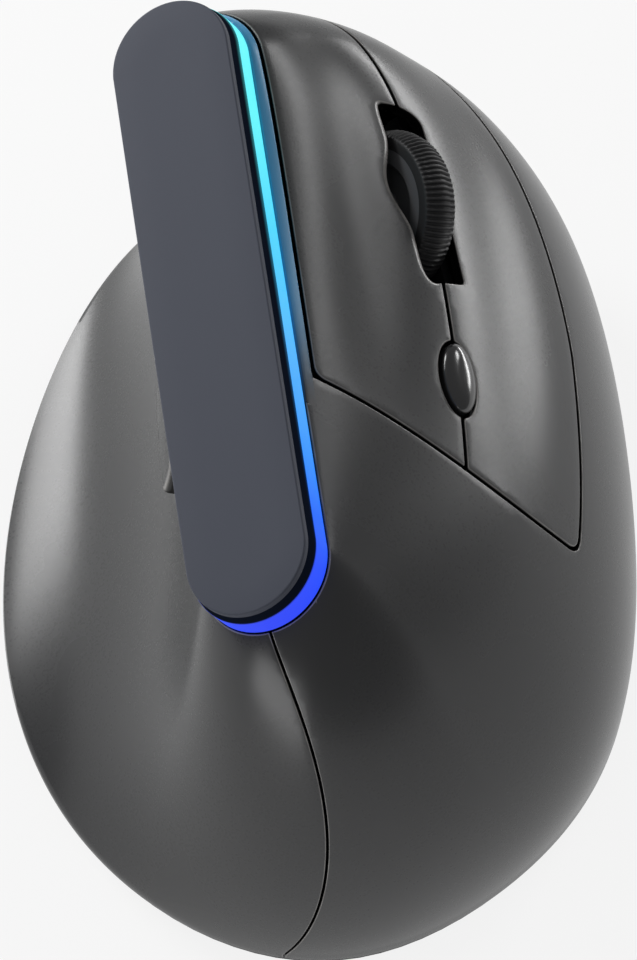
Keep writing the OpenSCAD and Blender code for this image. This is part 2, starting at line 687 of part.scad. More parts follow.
// Thumb switches stand on a board on the spine, each behind the middle of its button
function thumb_spot(us) = unyawed(face((us[0] + us[1]) / 2, (thumb_v[0] + thumb_v[1]) / 2, -1.2));
tact_x = [web_x[0] - board_t - 2.2, web_x[0] - board_t];

module tact(us) {
  p = thumb_spot(us);
  color("DarkSlateGray") at_spine() difference() {
    block(tact_x, [p.y - 3, p.y + 3], [crest_z + p.z - 3, crest_z + p.z + 3]);
    translate([0, p.y, crest_z + p.z]) rotate([0, 90, 0])
      rod(plunger_r + run, tact_x[0] - 1, tact_x[0] + 1.5);
  }
}

module back_switch() { tact(back_u); }

module forward_switch() { tact(fore_u); }

module tact_plunger(us) {
  p = thumb_spot(us);
  color("Crimson") at_spine() translate([0, p.y, crest_z + p.z]) rotate([0, 90, 0])
    rod(plunger_r, p.x - 0.4, tact_x[0] + 0.6);
}

module back_plunger() { tact_plunger(back_u); }

module forward_plunger() { tact_plunger(fore_u); }

module side_board() {
  a = thumb_spot(back_u);
  b = thumb_spot(fore_u);
  color("DarkGreen") at_spine()
    block([web_x[0] - board_t, web_x[0]], [a.y - 6, b.y + 6],
      [crest_z + min(a.z, b.z) - 6, crest_z + max(a.z, b.z) + 6]);
}

// Slate strip between the light band and the left key, let into the palm shell
module crest_trim() {
  ps = [for (p = palm_p) if (p >= trim_front && p <= trim_rear) p];
  vs = [key_high, 1];
  color("SteelBlue")
    shell([for (p = ps) [for (v = vs) skin(palm_u(p, v), v)]],
      [for (p = ps) [for (v = vs) lining(palm_u(p, v), v, wall)]],
      [for (i = [1:len(ps) - 1]) [for (j = [1:len(vs) - 1]) true]]);
}

panel_r = crest_r - panel_in;
bezel_r = panel_r - 0.1;

// Stadium whose walls lean in from radius a at the foot to radius b at the top
module leaning_stadium(a, b, h) {
  for (y = [-crest_half, crest_half])
    translate([0, y, 0]) cylinder(r1 = a, r2 = b, h = h, $fn = 48);
  translate([0, crest_half, 0]) rotate([90, 0, 0]) linear_extrude(2 * crest_half)
    polygon([[-a, 0], [a, 0], [b, h], [-b, h]]);
}

module crest_panel() {
  low = panel_t - panel_cham;
  color("SlateGray") at_crest(panel_t) {
    stadium(panel_r, low);
    translate([0, 0, low]) leaning_stadium(panel_r, panel_r - panel_cham, panel_cham);
  }
}

module crest_bezel() {
  color("MidnightBlue") at_crest(panel_t + bezel_h) leaning_stadium(crest_r - 0.1, bezel_r, bezel_h);
}

band_top = panel_t + bezel_h;
band_low = band_top + light_h;
core_r = crest_r - 2.6;

module light_guide() {
  color("DeepSkyBlue") at_crest(band_low) difference() {
    stadium(crest_r, light_h);
    translate([0, 0, -1]) stadium(core_r, light_h + 2);
  }
}

module led_board() {
  color("WhiteSmoke") {
    at_crest(band_low - 0.6) stadium(core_r - 0.2, board_t);
    for (y = leds, x = [0.8 - core_r, core_r - 3])
      at_crest(band_low - 0.6 - board_t) translate([x, y - 1, -0.1]) cube([2.2, 2, 0.8]);
  }
}

module crest_spine() {
  color("LightSlateGray") difference() {
    union() {
      at_crest(band_low) stadium(core_r - 0.2, 0.6);
      at_crest(band_low + 1.6) stadium(core_r + 0.5, 1.6);
      difference() {
        at_spine() block(web_x, [-34, 38], [lip_z, crest_z + 8]);
        at_crest(band_low + 0.8) block([-60, 60], [-80, 80], [0, 60]);
      }
      for (y = spine_feet)
        at_spine() translate([(web_x[0] + web_x[1]) / 2, y, 0]) rod(3.4, lip_z, lip_z + bore_l + 3);
    }
    for (y = [[-22, -6], [4, 22]])
      at_spine() block([web_x[0] - 1, web_x[1] + 1], y, [lip_z + 6, lip_z + 20]);
    for (y = spine_feet)
      at_spine() translate([(web_x[0] + web_x[1]) / 2, y, 0]) rod(screw_r + 0.02, lip_z - 1, lip_z + bore_l);
  }
}

function foot_spots() = concat(
  [for (s = leg_spots) leg_xy(s)],
  [for (y = spine_feet) let (p = crest_pos + yawed([(web_x[0] + web_x[1]) / 2, y, 0])) [p.x, p.y]]);

function inset(u, d) = let (t = egg(u + 0.5) - egg(u - 0.5)) egg(u) + d * unit([t.y, -t.x, 0]);

module base_plate() {
  color("DarkSlateGray") difference() {
    union() {
      translate([0, 0, plate_z]) linear_extrude(plate_t)
        polygon([for (u = [0:4:356]) let (p = inset(u, 0.6)) [p.x, p.y]]);
      for (s = stand_spots)
        translate(s) rod(2.6, lip_z - 0.2, board_z);
    }
    for (s = stand_spots)
      translate(s) rod(tap_r + 0.02, board_z + board_t - tap_l - 0.1, board_z + 1);
    for (s = foot_spots()) translate(s) {
      rod(screw_r + 0.1, 0, lip_z + 1);
      rod(2.2, 0, plate_z + 1);
    }
    for (g = glides)
      translate([g[0], g[1], plate_z - 1]) rotate([0, 0, g[2]]) pill(g[3] + 0.3, 6.3, 1.3);
    translate([sensor_pos.x, sensor_pos.y, 0]) pill(14, 9, 6);
    translate([knob_pos.x, knob_pos.y, 0]) rotate([0, 0, 90]) pill(8, 3.6, 6);
  }
}

module glide_feet() {
  color("WhiteSmoke") for (g = glides)
    translate([g[0], g[1], 0]) rotate([0, 0, g[2]]) pill(g[3], 6, plate_z + 0.3);
}

module case_screws() {
  color("Silver") for (s = foot_spots()) translate(s) difference() {
    union() {
      rod(2, plate_z + 0.1, plate_z + 1);
      rod(screw_r, plate_z + 0.9, lip_z + bore_l - 1);
    }
    for (a = [0, 90])
      rotate([0, 0, a]) block([-1.2, 1.2], [-0.25, 0.25], [0, plate_z + 0.6]);
  }
}

module tap_screw() {
  rod(1.5, 0, head_h);
  rod(tap_r, -tap_l, 0.1);
}

module board_screws() {
  color("Silver") {
    for (s = stand_spots)
      translate([s.x, s.y, board_z + board_t]) tap_screw();
    for (f = [left_f, right_f])
      at_frame(f) translate([0, switch_s - 14.7, switch_n]) tap_screw();
    at_frame(wheel_f) translate([0, bar_s - 6, bar_n - plunger_h - switch_h]) tap_screw();
  }
}

module main_board() {
  color("DarkGreen") difference() {
    translate([0, 0, board_z]) linear_extrude(board_t) polygon([[-2, -18], [28, -18], [28, 28], [16, 40],
      [16, board_end - 3], [13, board_end], [-2, board_end]]);
    for (s = foot_spots())
      translate(s) rod(leg_r + 0.4, board_z - 1, board_z + 3);
    for (s = stand_spots)
      translate(s) rod(tap_r + 0.1, board_z - 1, board_z + 3);
    translate([sensor_pos.x, sensor_pos.y, board_z - 1]) block([-3, 4], [-3.5, 3.5], [0, 4]);
  }
}

module sensor() {
  top = board_z + board_t;
  color("Black") translate(sensor_pos) block([-3.8, 5.5], [-5, 5], [top, top + 2.6]);
}

module sensor_lens() {
  color("LightCyan") translate(sensor_pos) {
    block([-5.5, 5.5], [-9, 9], [lip_z, lip_z + 1.4]);
    rod(2.6, plate_z + 0.6, board_z - 0.2);
  }
}

module battery() {
  color("Goldenrod") block([-2, 22], [battery_y, battery_y + 22], [lip_z, lip_z + 7]);
}

module port_body(l, w, y) {
  translate([port_x, y, port_z]) rotate([90, 0, 0]) rotate([0, 0, 90]) pill(l, w, 7);
}

module charge_port() {
  color("Silver") {
    difference() {
      port_body(port_w, port_h, port_y);
      port_body(port_w - 0.6, port_h - 0.6, port_y + 1);
    }
    translate([port_x, port_y, port_z]) block([-3.3, 3.3], [-6.4, -0.8], [-0.35, 0.35]);
  }
}

module power_switch() {
  color("Black") translate(knob_pos) difference() {
    block([-5, 5], [-2.4, 2.4], [board_z - 2.2, board_z]);
    block([-3, 3], [-1.1, 1.1], [0, board_z - 0.8]);
  }
}

module power_knob() {
  color("OrangeRed") translate([knob_pos.x - knob_run / 2, knob_pos.y, 0]) {
    translate([0, 0, plate_z + 0.2]) rotate([0, 0, 90]) pill(4.6, 3.2, plate_t - 0.1);
    block([-3.4, 3.4], [-2.6, 2.6], [lip_z + 0.05, lip_z + 0.7]);
    rod(0.9, lip_z + 0.5, board_z - 1.2);
  }
}

base_plate();
glide_feet();
case_screws();
palm_shell();
thumb_shell();
crest_panel();
crest_bezel();
light_guide();
led_board();
crest_spine();
crest_trim();
key_frame();
left_board();
right_board();
wheel_board();
main_board();
side_board();
board_screws();
sensor();
sensor_lens();
battery();
charge_port();
power_switch();
power_knob();
left_key();
left_key_arm();
left_key_pin();
left_switch();
left_plunger();
right_key();
right_key_arm();
right_key_pin();
right_switch();
right_plunger();
wheel_tyre();
wheel_hub();
wheel_axle();
wheel_cradle();
cradle_pin();
wheel_encoder();
middle_switch();
middle_plunger();
dpi_button();
dpi_plunger();
dpi_switch();
forward_button();
forward_plunger();
forward_switch();
back_button();
back_plunger();
back_switch();
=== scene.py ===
"""Looks of a right-hand vertical mouse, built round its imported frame."""

import json
import logging
import math
from dataclasses import dataclass, field
from enum import Enum
from typing import Callable, Protocol, Sequence

import bmesh
import bpy
import numpy as np
from mathutils import Matrix, Vector
from mathutils.geometry import delaunay_2d_cdt


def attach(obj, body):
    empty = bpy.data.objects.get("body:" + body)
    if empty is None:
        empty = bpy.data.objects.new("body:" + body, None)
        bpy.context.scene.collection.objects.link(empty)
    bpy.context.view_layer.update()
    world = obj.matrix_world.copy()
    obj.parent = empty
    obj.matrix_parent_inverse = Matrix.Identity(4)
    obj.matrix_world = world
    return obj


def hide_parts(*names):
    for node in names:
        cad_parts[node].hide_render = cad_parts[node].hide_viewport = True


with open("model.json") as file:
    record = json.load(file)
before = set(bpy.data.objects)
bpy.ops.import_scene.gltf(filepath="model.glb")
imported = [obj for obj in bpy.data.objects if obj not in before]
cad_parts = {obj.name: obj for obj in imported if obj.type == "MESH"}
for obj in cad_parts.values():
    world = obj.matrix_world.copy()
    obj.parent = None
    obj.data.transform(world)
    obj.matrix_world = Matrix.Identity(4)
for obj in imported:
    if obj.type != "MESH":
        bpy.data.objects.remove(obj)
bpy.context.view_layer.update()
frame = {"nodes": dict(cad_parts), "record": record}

LOG = logging.getLogger("mouse")
MM = 0.001
TINY = 1e-9
Array = np.ndarray


def sin_d(a: Array | float) -> Array:
    """Sine of an angle in degrees."""
    return np.sin(np.deg2rad(a))


def cos_d(a: Array | float) -> Array:
    """Cosine of an angle in degrees."""
    return np.cos(np.deg2rad(a))


def lerp(a: float | Array, b: float | Array, t: float | Array) -> float | Array:
    """Value a share t of the way from a to b."""
    return a + (b - a) * t


def unit(v: Array) -> Array:
    """Vectors scaled to length one."""
    return v / np.linalg.norm(v, axis=-1, keepdims=True)


# Skin of the body


@dataclass(frozen=True)
class Seat:
    """Working frame on the skin: origin and the across, forward and outward directions."""

    origin: Array
    across: Array
    forward: Array
    outward: Array

    def matrix(self) -> Matrix:
        """Placement of the frame in metres."""
        m = np.eye(4)
        m[:3, 0], m[:3, 1], m[:3, 2] = self.across, self.forward, self.outward
        m[:3, 3] = self.origin * MM
        return Matrix(m.tolist())

    def local(self, p: Array) -> Array:
        """Points in the frame's own coordinates."""
        q = p - self.origin
        return np.stack([q @ self.across, q @ self.forward, q @ self.outward], -1)


@dataclass(frozen=True)
class BodySkin:
    """Skin of the mouse in millimetres: cubic arcs from the crest edge to the egg-shaped base line.

    A point has u, degrees clockwise from the front, and v, 0 at the base and 1 at the crest.
    """

    width: float = 86.0
    length: float = 120.0
    setback: float = 5.0
    lip_z: float = 2.4
    skirt_z: float = 3.4
    lip_v: float = 0.02
    crest_pos: tuple[float, float, float] = (-14.45, 6.85, 62.0)
    crest_turn: tuple[float, float, float] = (1.5, -27.0, 7.4)
    crest_half: float = 36.5
    crest_r: float = 9.0
    crest_clip: float = 0.1
    crest_drop: float = 5.8
    warp: float = 0.028
    egg: tuple[float, float, float, float] = (1.6, 3.0, 1.6, 1.0)
    fan: float = 22.0
    channel: float = 0.7
    channel_u: tuple[float, float] = (24.0, 106.0)
    channel_rows: tuple[tuple[float, float], ...] = ((0.84, 0.07), (0.55, 0.08))
    channel_fade: float = 0.7
    flare: tuple[tuple[float, float, float, float], ...] = (
        (2, 14, 1, 20), (21, 3, 6, 30), (23, 4, 4, 28), (22, 7, 3, 26),
        (20, 7, 3, 26), (16, 6, 3, 24), (10, 5, 2, 22), (3, 8, -2, 16),
        (-4, 18, -10, 8), (-8, 20, -16, 4), (-8, 20, -14, 4), (-4, 18, -6, 10),
    )

    def crest_rotation(self) -> Array:
        """Turn of the crest as a 3 by 3 matrix."""
        x, y, z = (math.radians(a) for a in self.crest_turn)
        return np.array(Matrix.Rotation(z, 3, "Z") @ Matrix.Rotation(y, 3, "Y") @ Matrix.Rotation(x, 3, "X"))

    def crest_matrix(self, depth: float = 0.0) -> Matrix:
        """Placement in metres of a level below the crest's top face.

        Args:
            depth: Distance below the top face in millimetres.

        Returns:
            The placement matrix.
        """
        turn = self.crest_rotation()
        m = np.eye(4)
        m[:3, :3] = turn
        m[:3, 3] = (np.array(self.crest_pos) - depth * turn[:, 2]) * MM
        return Matrix(m.tolist())

    def base_line(self, u: Array) -> Array:
        """Points of the egg outline at the skirt."""
        even, front, side, skew = self.egg
        k = (even + front * cos_d(u) + side * sin_d(u) + skew * sin_d(2 * u)) * sin_d(2 * u)
        x = self.width / 2 * sin_d(u + k)
        y = self.length / 2 * cos_d(u - k) - self.setback * sin_d(u) ** 2
        return np.stack([x, y, np.full_like(x, self.skirt_z)], -1)

    def crest_line(self, u: Array) -> Array:
        """Points of the crest edge, a stadium outline in the crest plane."""
        r, h = self.crest_r + self.crest_clip, self.crest_half
        q = math.pi * r / 2
        s = np.mod(u / 360 - self.warp * sin_d(2 * u), 1.0) * (4 * q + 4 * h)
        a = s / r
        b = math.pi / 2 + (s - q - 2 * h) / r
        e = 1.5 * math.pi + (s - 3 * q - 4 * h) / r
        spans = [s < q, s < q + 2 * h, s < 3 * q + 2 * h, s < 3 * q + 4 * h]
        across = [r * np.sin(a), r + 0 * s, r * np.sin(b), -r + 0 * s]
        ahead = [h + r * np.cos(a), h - s + q, -h + r * np.cos(b), s - 3 * q - 3 * h]
        x = np.select(spans, across, r * np.sin(e))
        y = np.select(spans, ahead, h + r * np.cos(e))
        p = np.stack([x, y, np.full_like(x, -self.crest_drop)], -1)
        return np.array(self.crest_pos) + p @ self.crest_rotation().T

    def flare_at(self, u: Array) -> Array:
        """Arc handles in direction u, from a closed cubic spline through the flare rows."""
        rows = np.array(self.flare, float)
        s = np.asarray(u, float) / 360 * len(rows)
        i = np.floor(s).astype(int)
        t = (s - i)[..., None]
        w = [(1 - t) ** 3, 3 * t**3 - 6 * t**2 + 4, -3 * t**3 + 3 * t**2 + 3 * t + 1, t**3]
        return sum(w[k] / 6 * rows[(i - 1 + k) % len(rows)] for k in range(4))

    def body(self, u: Array, v: Array) -> Array:
        """Points of the plain body; below v = 0 the skin drops straight to the lip."""
        u, v = np.broadcast_arrays(np.asarray(u, float), np.asarray(v, float))
        b, c, f = self.base_line(u), self.crest_line(u), self.flare_at(u)
        a = u + self.fan * sin_d(2 * u)
        o = np.stack([sin_d(a), cos_d(a), np.zeros_like(a)], -1)
        z = np.array([0.0, 0.0, 1.0])
        w = 1 - np.clip(v, 0, None)[..., None]
        p, q = c + f[..., :1] * o - f[..., 1:2] * z, b + f[..., 2:3] * o + f[..., 3:] * z
        arc = (1 - w) ** 3 * c + 3 * w * (1 - w) ** 2 * p + 3 * w**2 * (1 - w) * q + w**3 * b
        return arc + np.clip(v, None, 0)[..., None] / self.lip_v * (self.skirt_z - self.lip_z) * z

    def slopes(self, u: Array, v: Array) -> tuple[Array, Array]:
        """Travel in millimetres per degree of u and per unit of v."""
        du, dv = 0.1, 0.002
        pu = (self.body(u + du, v) - self.body(u - du, v)) / (2 * du)
        pv = (self.body(u, v + dv) - self.body(u, v - dv)) / (2 * dv)
        return pu, pv

    def normal(self, u: Array, v: Array) -> Array:
        """Outward direction of the skin."""
        pu, pv = self.slopes(u, v)
        return unit(np.cross(pv, pu))

    def per_u(self, mm: float, u: Array, v: Array) -> Array:
        """Degrees of u that make a length of mm."""
        return mm / np.linalg.norm(self.slopes(u, v)[0], axis=-1)

    def per_v(self, mm: float, u: Array, v: Array) -> Array:
        """Share of v that makes a length of mm."""
        return mm / np.linalg.norm(self.slopes(u, v)[1], axis=-1)

    def sink(self, u: Array, v: Array) -> Array:
        """Depth of the two finger channels."""
        start, end = self.channel_u
        within = (u > start) & (u < end)
        run = np.abs(sin_d((np.clip(u, start, end) - start) / (end - start) * 180))
        fade = np.where(within, run**self.channel_fade, 0.0)
        rows = [np.exp(-(((v - at) / wide) ** 2)) for at, wide in self.channel_rows]
        return self.channel * fade * sum(rows)

    def face(self, u: Array, v: Array, out: Array | float = 0.0) -> Array:
        """Points of the finished skin, moved outwards by out."""
        lift = np.asarray(out) - self.sink(u, v)
        return self.body(u, v) + lift[..., None] * self.normal(u, v)

    def shift(self, uv: Array, direction: Array) -> Array:
        """Step in u and v that travels along a direction lying in the skin.

        Args:
            uv: Points as rows of u and v.
            direction: Vectors in millimetres.

        Returns:
            Rows of steps in u and v.
        """
        pu, pv = self.slopes(uv[:, 0], uv[:, 1])
        a, b, c = (pu * pu).sum(-1), (pu * pv).sum(-1), (pv * pv).sum(-1)
        r, s = (pu * direction).sum(-1), (pv * direction).sum(-1)
        det = a * c - b * b
        return np.stack([(c * r - b * s) / det, (a * s - b * r) / det], -1)

    def seat(self, u0: float, v0: float, u1: float, v1: float) -> Seat:
        """Working frame at (u0, v0) that looks forward to (u1, v1)."""
        ends = self.body(np.array([u0, u1]), np.array([v0, v1]))
        n = self.normal(np.array([(u0 + u1) / 2]), np.array([(v0 + v1) / 2]))[0]
        d = ends[1] - ends[0]
        s = unit(d - n * (d @ n))
        return Seat(ends[0], np.cross(s, n), s, n)

    def locate(self, seat: Seat, plan: Array, start: tuple[float, float]) -> Array:
        """Points of the skin over a plan drawn in a working frame.

        Args:
            seat: The working frame.
            plan: Rows of across and forward in millimetres.
            start: A nearby u and v.

        Returns:
            Rows of u and v.
        """
        uv = np.tile(np.array(start, float), (len(plan), 1))
        for _ in range(12):
            miss = plan - seat.local(self.body(uv[:, 0], uv[:, 1]))[:, :2]
            pu, pv = self.slopes(uv[:, 0], uv[:, 1])
            ju = np.stack([pu @ seat.across, pu @ seat.forward], -1)
            jv = np.stack([pv @ seat.across, pv @ seat.forward], -1)
            det = ju[:, 0] * jv[:, 1] - ju[:, 1] * jv[:, 0]
            uv[:, 0] += (miss[:, 0] * jv[:, 1] - miss[:, 1] * jv[:, 0]) / det
            uv[:, 1] += (ju[:, 0] * miss[:, 1] - ju[:, 1] * miss[:, 0]) / det
        return uv


@dataclass(frozen=True)
class Seams:
    """Chart of the lines that part the skin, in degrees and shares of height."""

    skin: BodySkin
    front: float = -8.0
    key_front: float = 20.0
    key_rear: float = 108.0
    trim_front: float = 14.0
    key_low: float = 0.38
    key_rise: float = 0.16
    key_high: float = 0.977
    seam: float = 0.3
    key_gap: float = 0.5
    key_front_gap: float = 1.2
    wheel_u: float = 62.9
    dpi_u: float = 93.0
    back_u: tuple[float, float] = (256.0, 280.0)
    fore_u: tuple[float, float] = (283.0, 307.0)
    thumb_v: tuple[float, float] = (0.64, 0.82)
    thumb_taper: float = 0.045
    thumb_gap: float = 0.3
    thumb_run: float = 26.0
    thumb_most: float = 1.4
    middle_v: float = 0.725
    middle_fall: float = 0.065
    middle_u: tuple[float, float] = (30.0, 80.0)
    front_bend: float = 0.75
    front_sweep: float = 60.0
    rise_start: float = 76.0
    rise_power: float = 1.3
    gap_power: int = 3
    end_middle: float = 0.72
    end_bow: float = 36.0
    heel_u: float = 186.3
    heel_lean: float = 4.3
    heel_bow: float = 38.0
    look: float = 10.0

    def middle(self, u: Array) -> Array:
        """Height of the seam between the two keys."""
        start, run = self.middle_u
        return self.middle_v - self.middle_fall * (np.asarray(u, float) - start) / run

    def front_line(self, v: Array) -> Array:
        """Front edge of the key opening, which runs forward towards the crest."""
        return self.key_front - self.front_sweep * np.maximum(0, np.asarray(v, float) - self.front_bend)

    def fore_share(self, u: Array) -> Array:
        """Share of the way to the keys' front end, from 0 beside the oval button."""
        return np.maximum(0, (self.rise_start - np.asarray(u, float)) / (self.rise_start - self.key_front))

    def low(self, u: Array) -> Array:
        """Lower edge of the key opening, which rises towards the front."""
        return self.key_low + self.key_rise * self.fore_share(u) ** self.rise_power

    def low_gap(self, u: Array) -> Array:
        """Gap below the right key, wider towards the front."""
        return lerp(self.key_gap, self.key_front_gap, self.fore_share(u) ** self.gap_power)

    def trim_start(self, v: Array) -> Array:
        """Front end of the strip along the crest."""
        share = (self.trim_front - self.front) / (self.key_front - self.front)
        return lerp(self.front, self.front_line(v), share)

    def key_end(self, v: Array) -> Array:
        """Rear edge of the key opening."""
        return self.key_rear - self.end_bow * (np.asarray(v, float) - self.end_middle) ** 2

    def rear(self, v: Array) -> Array:
        """Seam between the palm shell and the thumb shell at the heel."""
        c = np.clip(np.asarray(v, float), 0, 1)
        return self.heel_u - self.heel_lean * c - self.heel_bow * c * (1 - c)

    def thumb_narrow(self, u: Array) -> Array:
        """How much the thumb buttons' openings narrow away from where the two meet."""
        return self.thumb_taper * np.minimum(self.thumb_most, ((u - self.back_u[1]) / self.thumb_run) ** 2)

    def thumb_low(self, u: Array) -> Array:
        """Lower edge of the thumb buttons' openings."""
        return self.thumb_v[0] + self.thumb_narrow(u)

    def thumb_high(self, u: Array) -> Array:
        """Upper edge of the thumb buttons' openings."""
        return self.thumb_v[1] - self.thumb_narrow(u)

    def seam_point(self, u: float) -> tuple[float, float]:
        """Place in direction u on the seam between the keys."""
        return u, float(self.middle(u))

    def seam_seat(self, u: float) -> Seat:
        """Working frame on the seam between the keys that looks forward along it."""
        return self.skin.seat(*self.seam_point(u), *self.seam_point(u - self.look))

    def wheel_seat(self) -> Seat:
        """Working frame of the scroll wheel."""
        return self.seam_seat(self.wheel_u)

    def dpi_seat(self) -> Seat:
        """Working frame of the oval button."""
        return self.seam_seat(self.dpi_u)


# Outlines and moulded skins


@dataclass
class Outline:
    """Closed line on the skin, drawn edge by edge and rounded at its corners."""

    skin: BodySkin
    edges: list[tuple[Array, float, float]] = field(default_factory=list)
    step: float = 0.35
    room: float = 0.98
    bend_points: float = 2.2
    shortest: float = 0.04
    blend: tuple[int, float] = (7, 4.0)

    def edge(self, uv: Array, corner: float = 0.3, roll: float = 0.3) -> "Outline":
        """Adds an edge.

        Args:
            uv: Rows of u and v along the edge.
            corner: Radius of the corner at its start, in millimetres.
            roll: Radius of the rolled edge along it.

        Returns:
            The outline itself, so that calls can follow each other.
        """
        self.edges.append((np.asarray(uv, float), corner, roll))
        return self

    def _lengths(self, uv: Array) -> Array:
        """Distance along an edge at each of its points."""
        p = self.skin.body(uv[:, 0], uv[:, 1])
        return np.concatenate([[0], np.cumsum(np.linalg.norm(np.diff(p, axis=0), axis=1))])

    def _cut(self, uv: Array, head: float, tail: float) -> Array:
        """Edge resampled at even steps, without its two ends."""
        s = self._lengths(uv)
        room = s[-1] * self.room
        scale = min(1.0, room / max(head + tail, TINY))
        a, b = head * scale, s[-1] - tail * scale
        t = np.linspace(a, b, max(2, int((b - a) / self.step) + 1))
        return np.stack([np.interp(t, s, uv[:, 0]), np.interp(t, s, uv[:, 1])], -1)

    def closed(self) -> tuple[Array, Array]:
        """The finished line.

        Returns:
            Rows of u and v, and the rolled-edge radius at each row.
        """
        n = len(self.edges)
        rows, rolls = [], []
        cut = [self._cut(e[0], e[1], self.edges[(i + 1) % n][1]) for i, e in enumerate(self.edges)]
        for i, (uv, corner, roll) in enumerate(self.edges):
            before = cut[i - 1][-1]
            tip = uv[0]
            steps = max(2, int(corner / self.step * self.bend_points) + 2)
            t = np.linspace(0, 1, steps + 1)[1:-1, None]
            bend = (1 - t) ** 2 * before + 2 * t * (1 - t) * tip + t**2 * cut[i][0]
            rows += [bend, cut[i]]
            rolls += [np.full(len(bend), (roll + self.edges[i - 1][2]) / 2), np.full(len(cut[i]), roll)]
        line, radius = np.concatenate(rows), np.concatenate(rolls)
        gap = np.linalg.norm(self.skin.body(*line.T) - self.skin.body(*np.roll(line, -1, 0).T), axis=1)
        keep = gap > self.shortest
        line, radius = line[keep], radius[keep]
        reach, width = self.blend
        span = np.arange(-reach, reach + 1)
        weight = np.exp(-((span / width) ** 2))
        radius = sum(w * np.roll(radius, k) for k, w in zip(span, weight)) / weight.sum()
        return line, radius


# Rough millimetres per degree of u and per unit of v: the flat plan in which a sheet is meshed
PLAN = np.array([0.75, 60.0])
# Rows across a rolled edge, as shares of its radius
ROLL_ROWS = (0.0, 0.05, 0.14, 0.28, 0.46, 0.7, 1.0)
# Points that are compared with a ring at a time
BATCH = 2000


def inside(points: Array, ring: Array) -> Array:
    """Which points lie inside a closed ring, by counting crossings."""
    out = np.zeros(len(points), bool)
    a, b = ring, np.roll(ring, -1, 0)
    for k in range(0, len(points), BATCH):
        x, y = points[k:k + BATCH, :1], points[k:k + BATCH, 1:]
        crosses = (a[:, 1] > y) != (b[:, 1] > y)
        with np.errstate(divide="ignore", invalid="ignore"):
            at = a[:, 0] + (y - a[:, 1]) / (b[:, 1] - a[:, 1]) * (b[:, 0] - a[:, 0])
        out[k:k + BATCH] = (crosses & (x < at)).sum(1) % 2 == 1
    return out


def clearance(points: Array, ring: Array) -> Array:
    """Distance from each point to the nearest point of a ring."""
    out = np.zeros(len(points))
    for k in range(0, len(points), BATCH):
        d = points[k:k + BATCH, None, :] - ring[None]
        out[k:k + BATCH] = np.sqrt((d * d).sum(-1).min(1))
    return out


def mesh_piece(
    name: str, points: Array, faces: Sequence[Sequence[int]], sharp: float = 50.0
) -> bpy.types.Object:
    """Smooth-shaded object from points in millimetres.

    Args:
        name: Name of the object.
        points: Rows of x, y, z in millimetres.
        faces: Vertex numbers of each face.
        sharp: Edges that bend more than this many degrees stay sharp.

    Returns:
        The object, linked to the scene.
    """
    mesh = bpy.data.meshes.new(name)
    mesh.from_pydata((np.asarray(points) * MM).tolist(), [], [list(map(int, f)) for f in faces])
    mesh.update()
    mesh.shade_smooth()
    mesh.set_sharp_from_angle(angle=math.radians(sharp))
    return link(name, mesh)


def link(name: str, mesh: bpy.types.Mesh) -> bpy.types.Object:
    """Object for a mesh, linked to the scene."""
    obj = bpy.data.objects.new(name, mesh)
    bpy.context.scene.collection.objects.link(obj)
    return obj


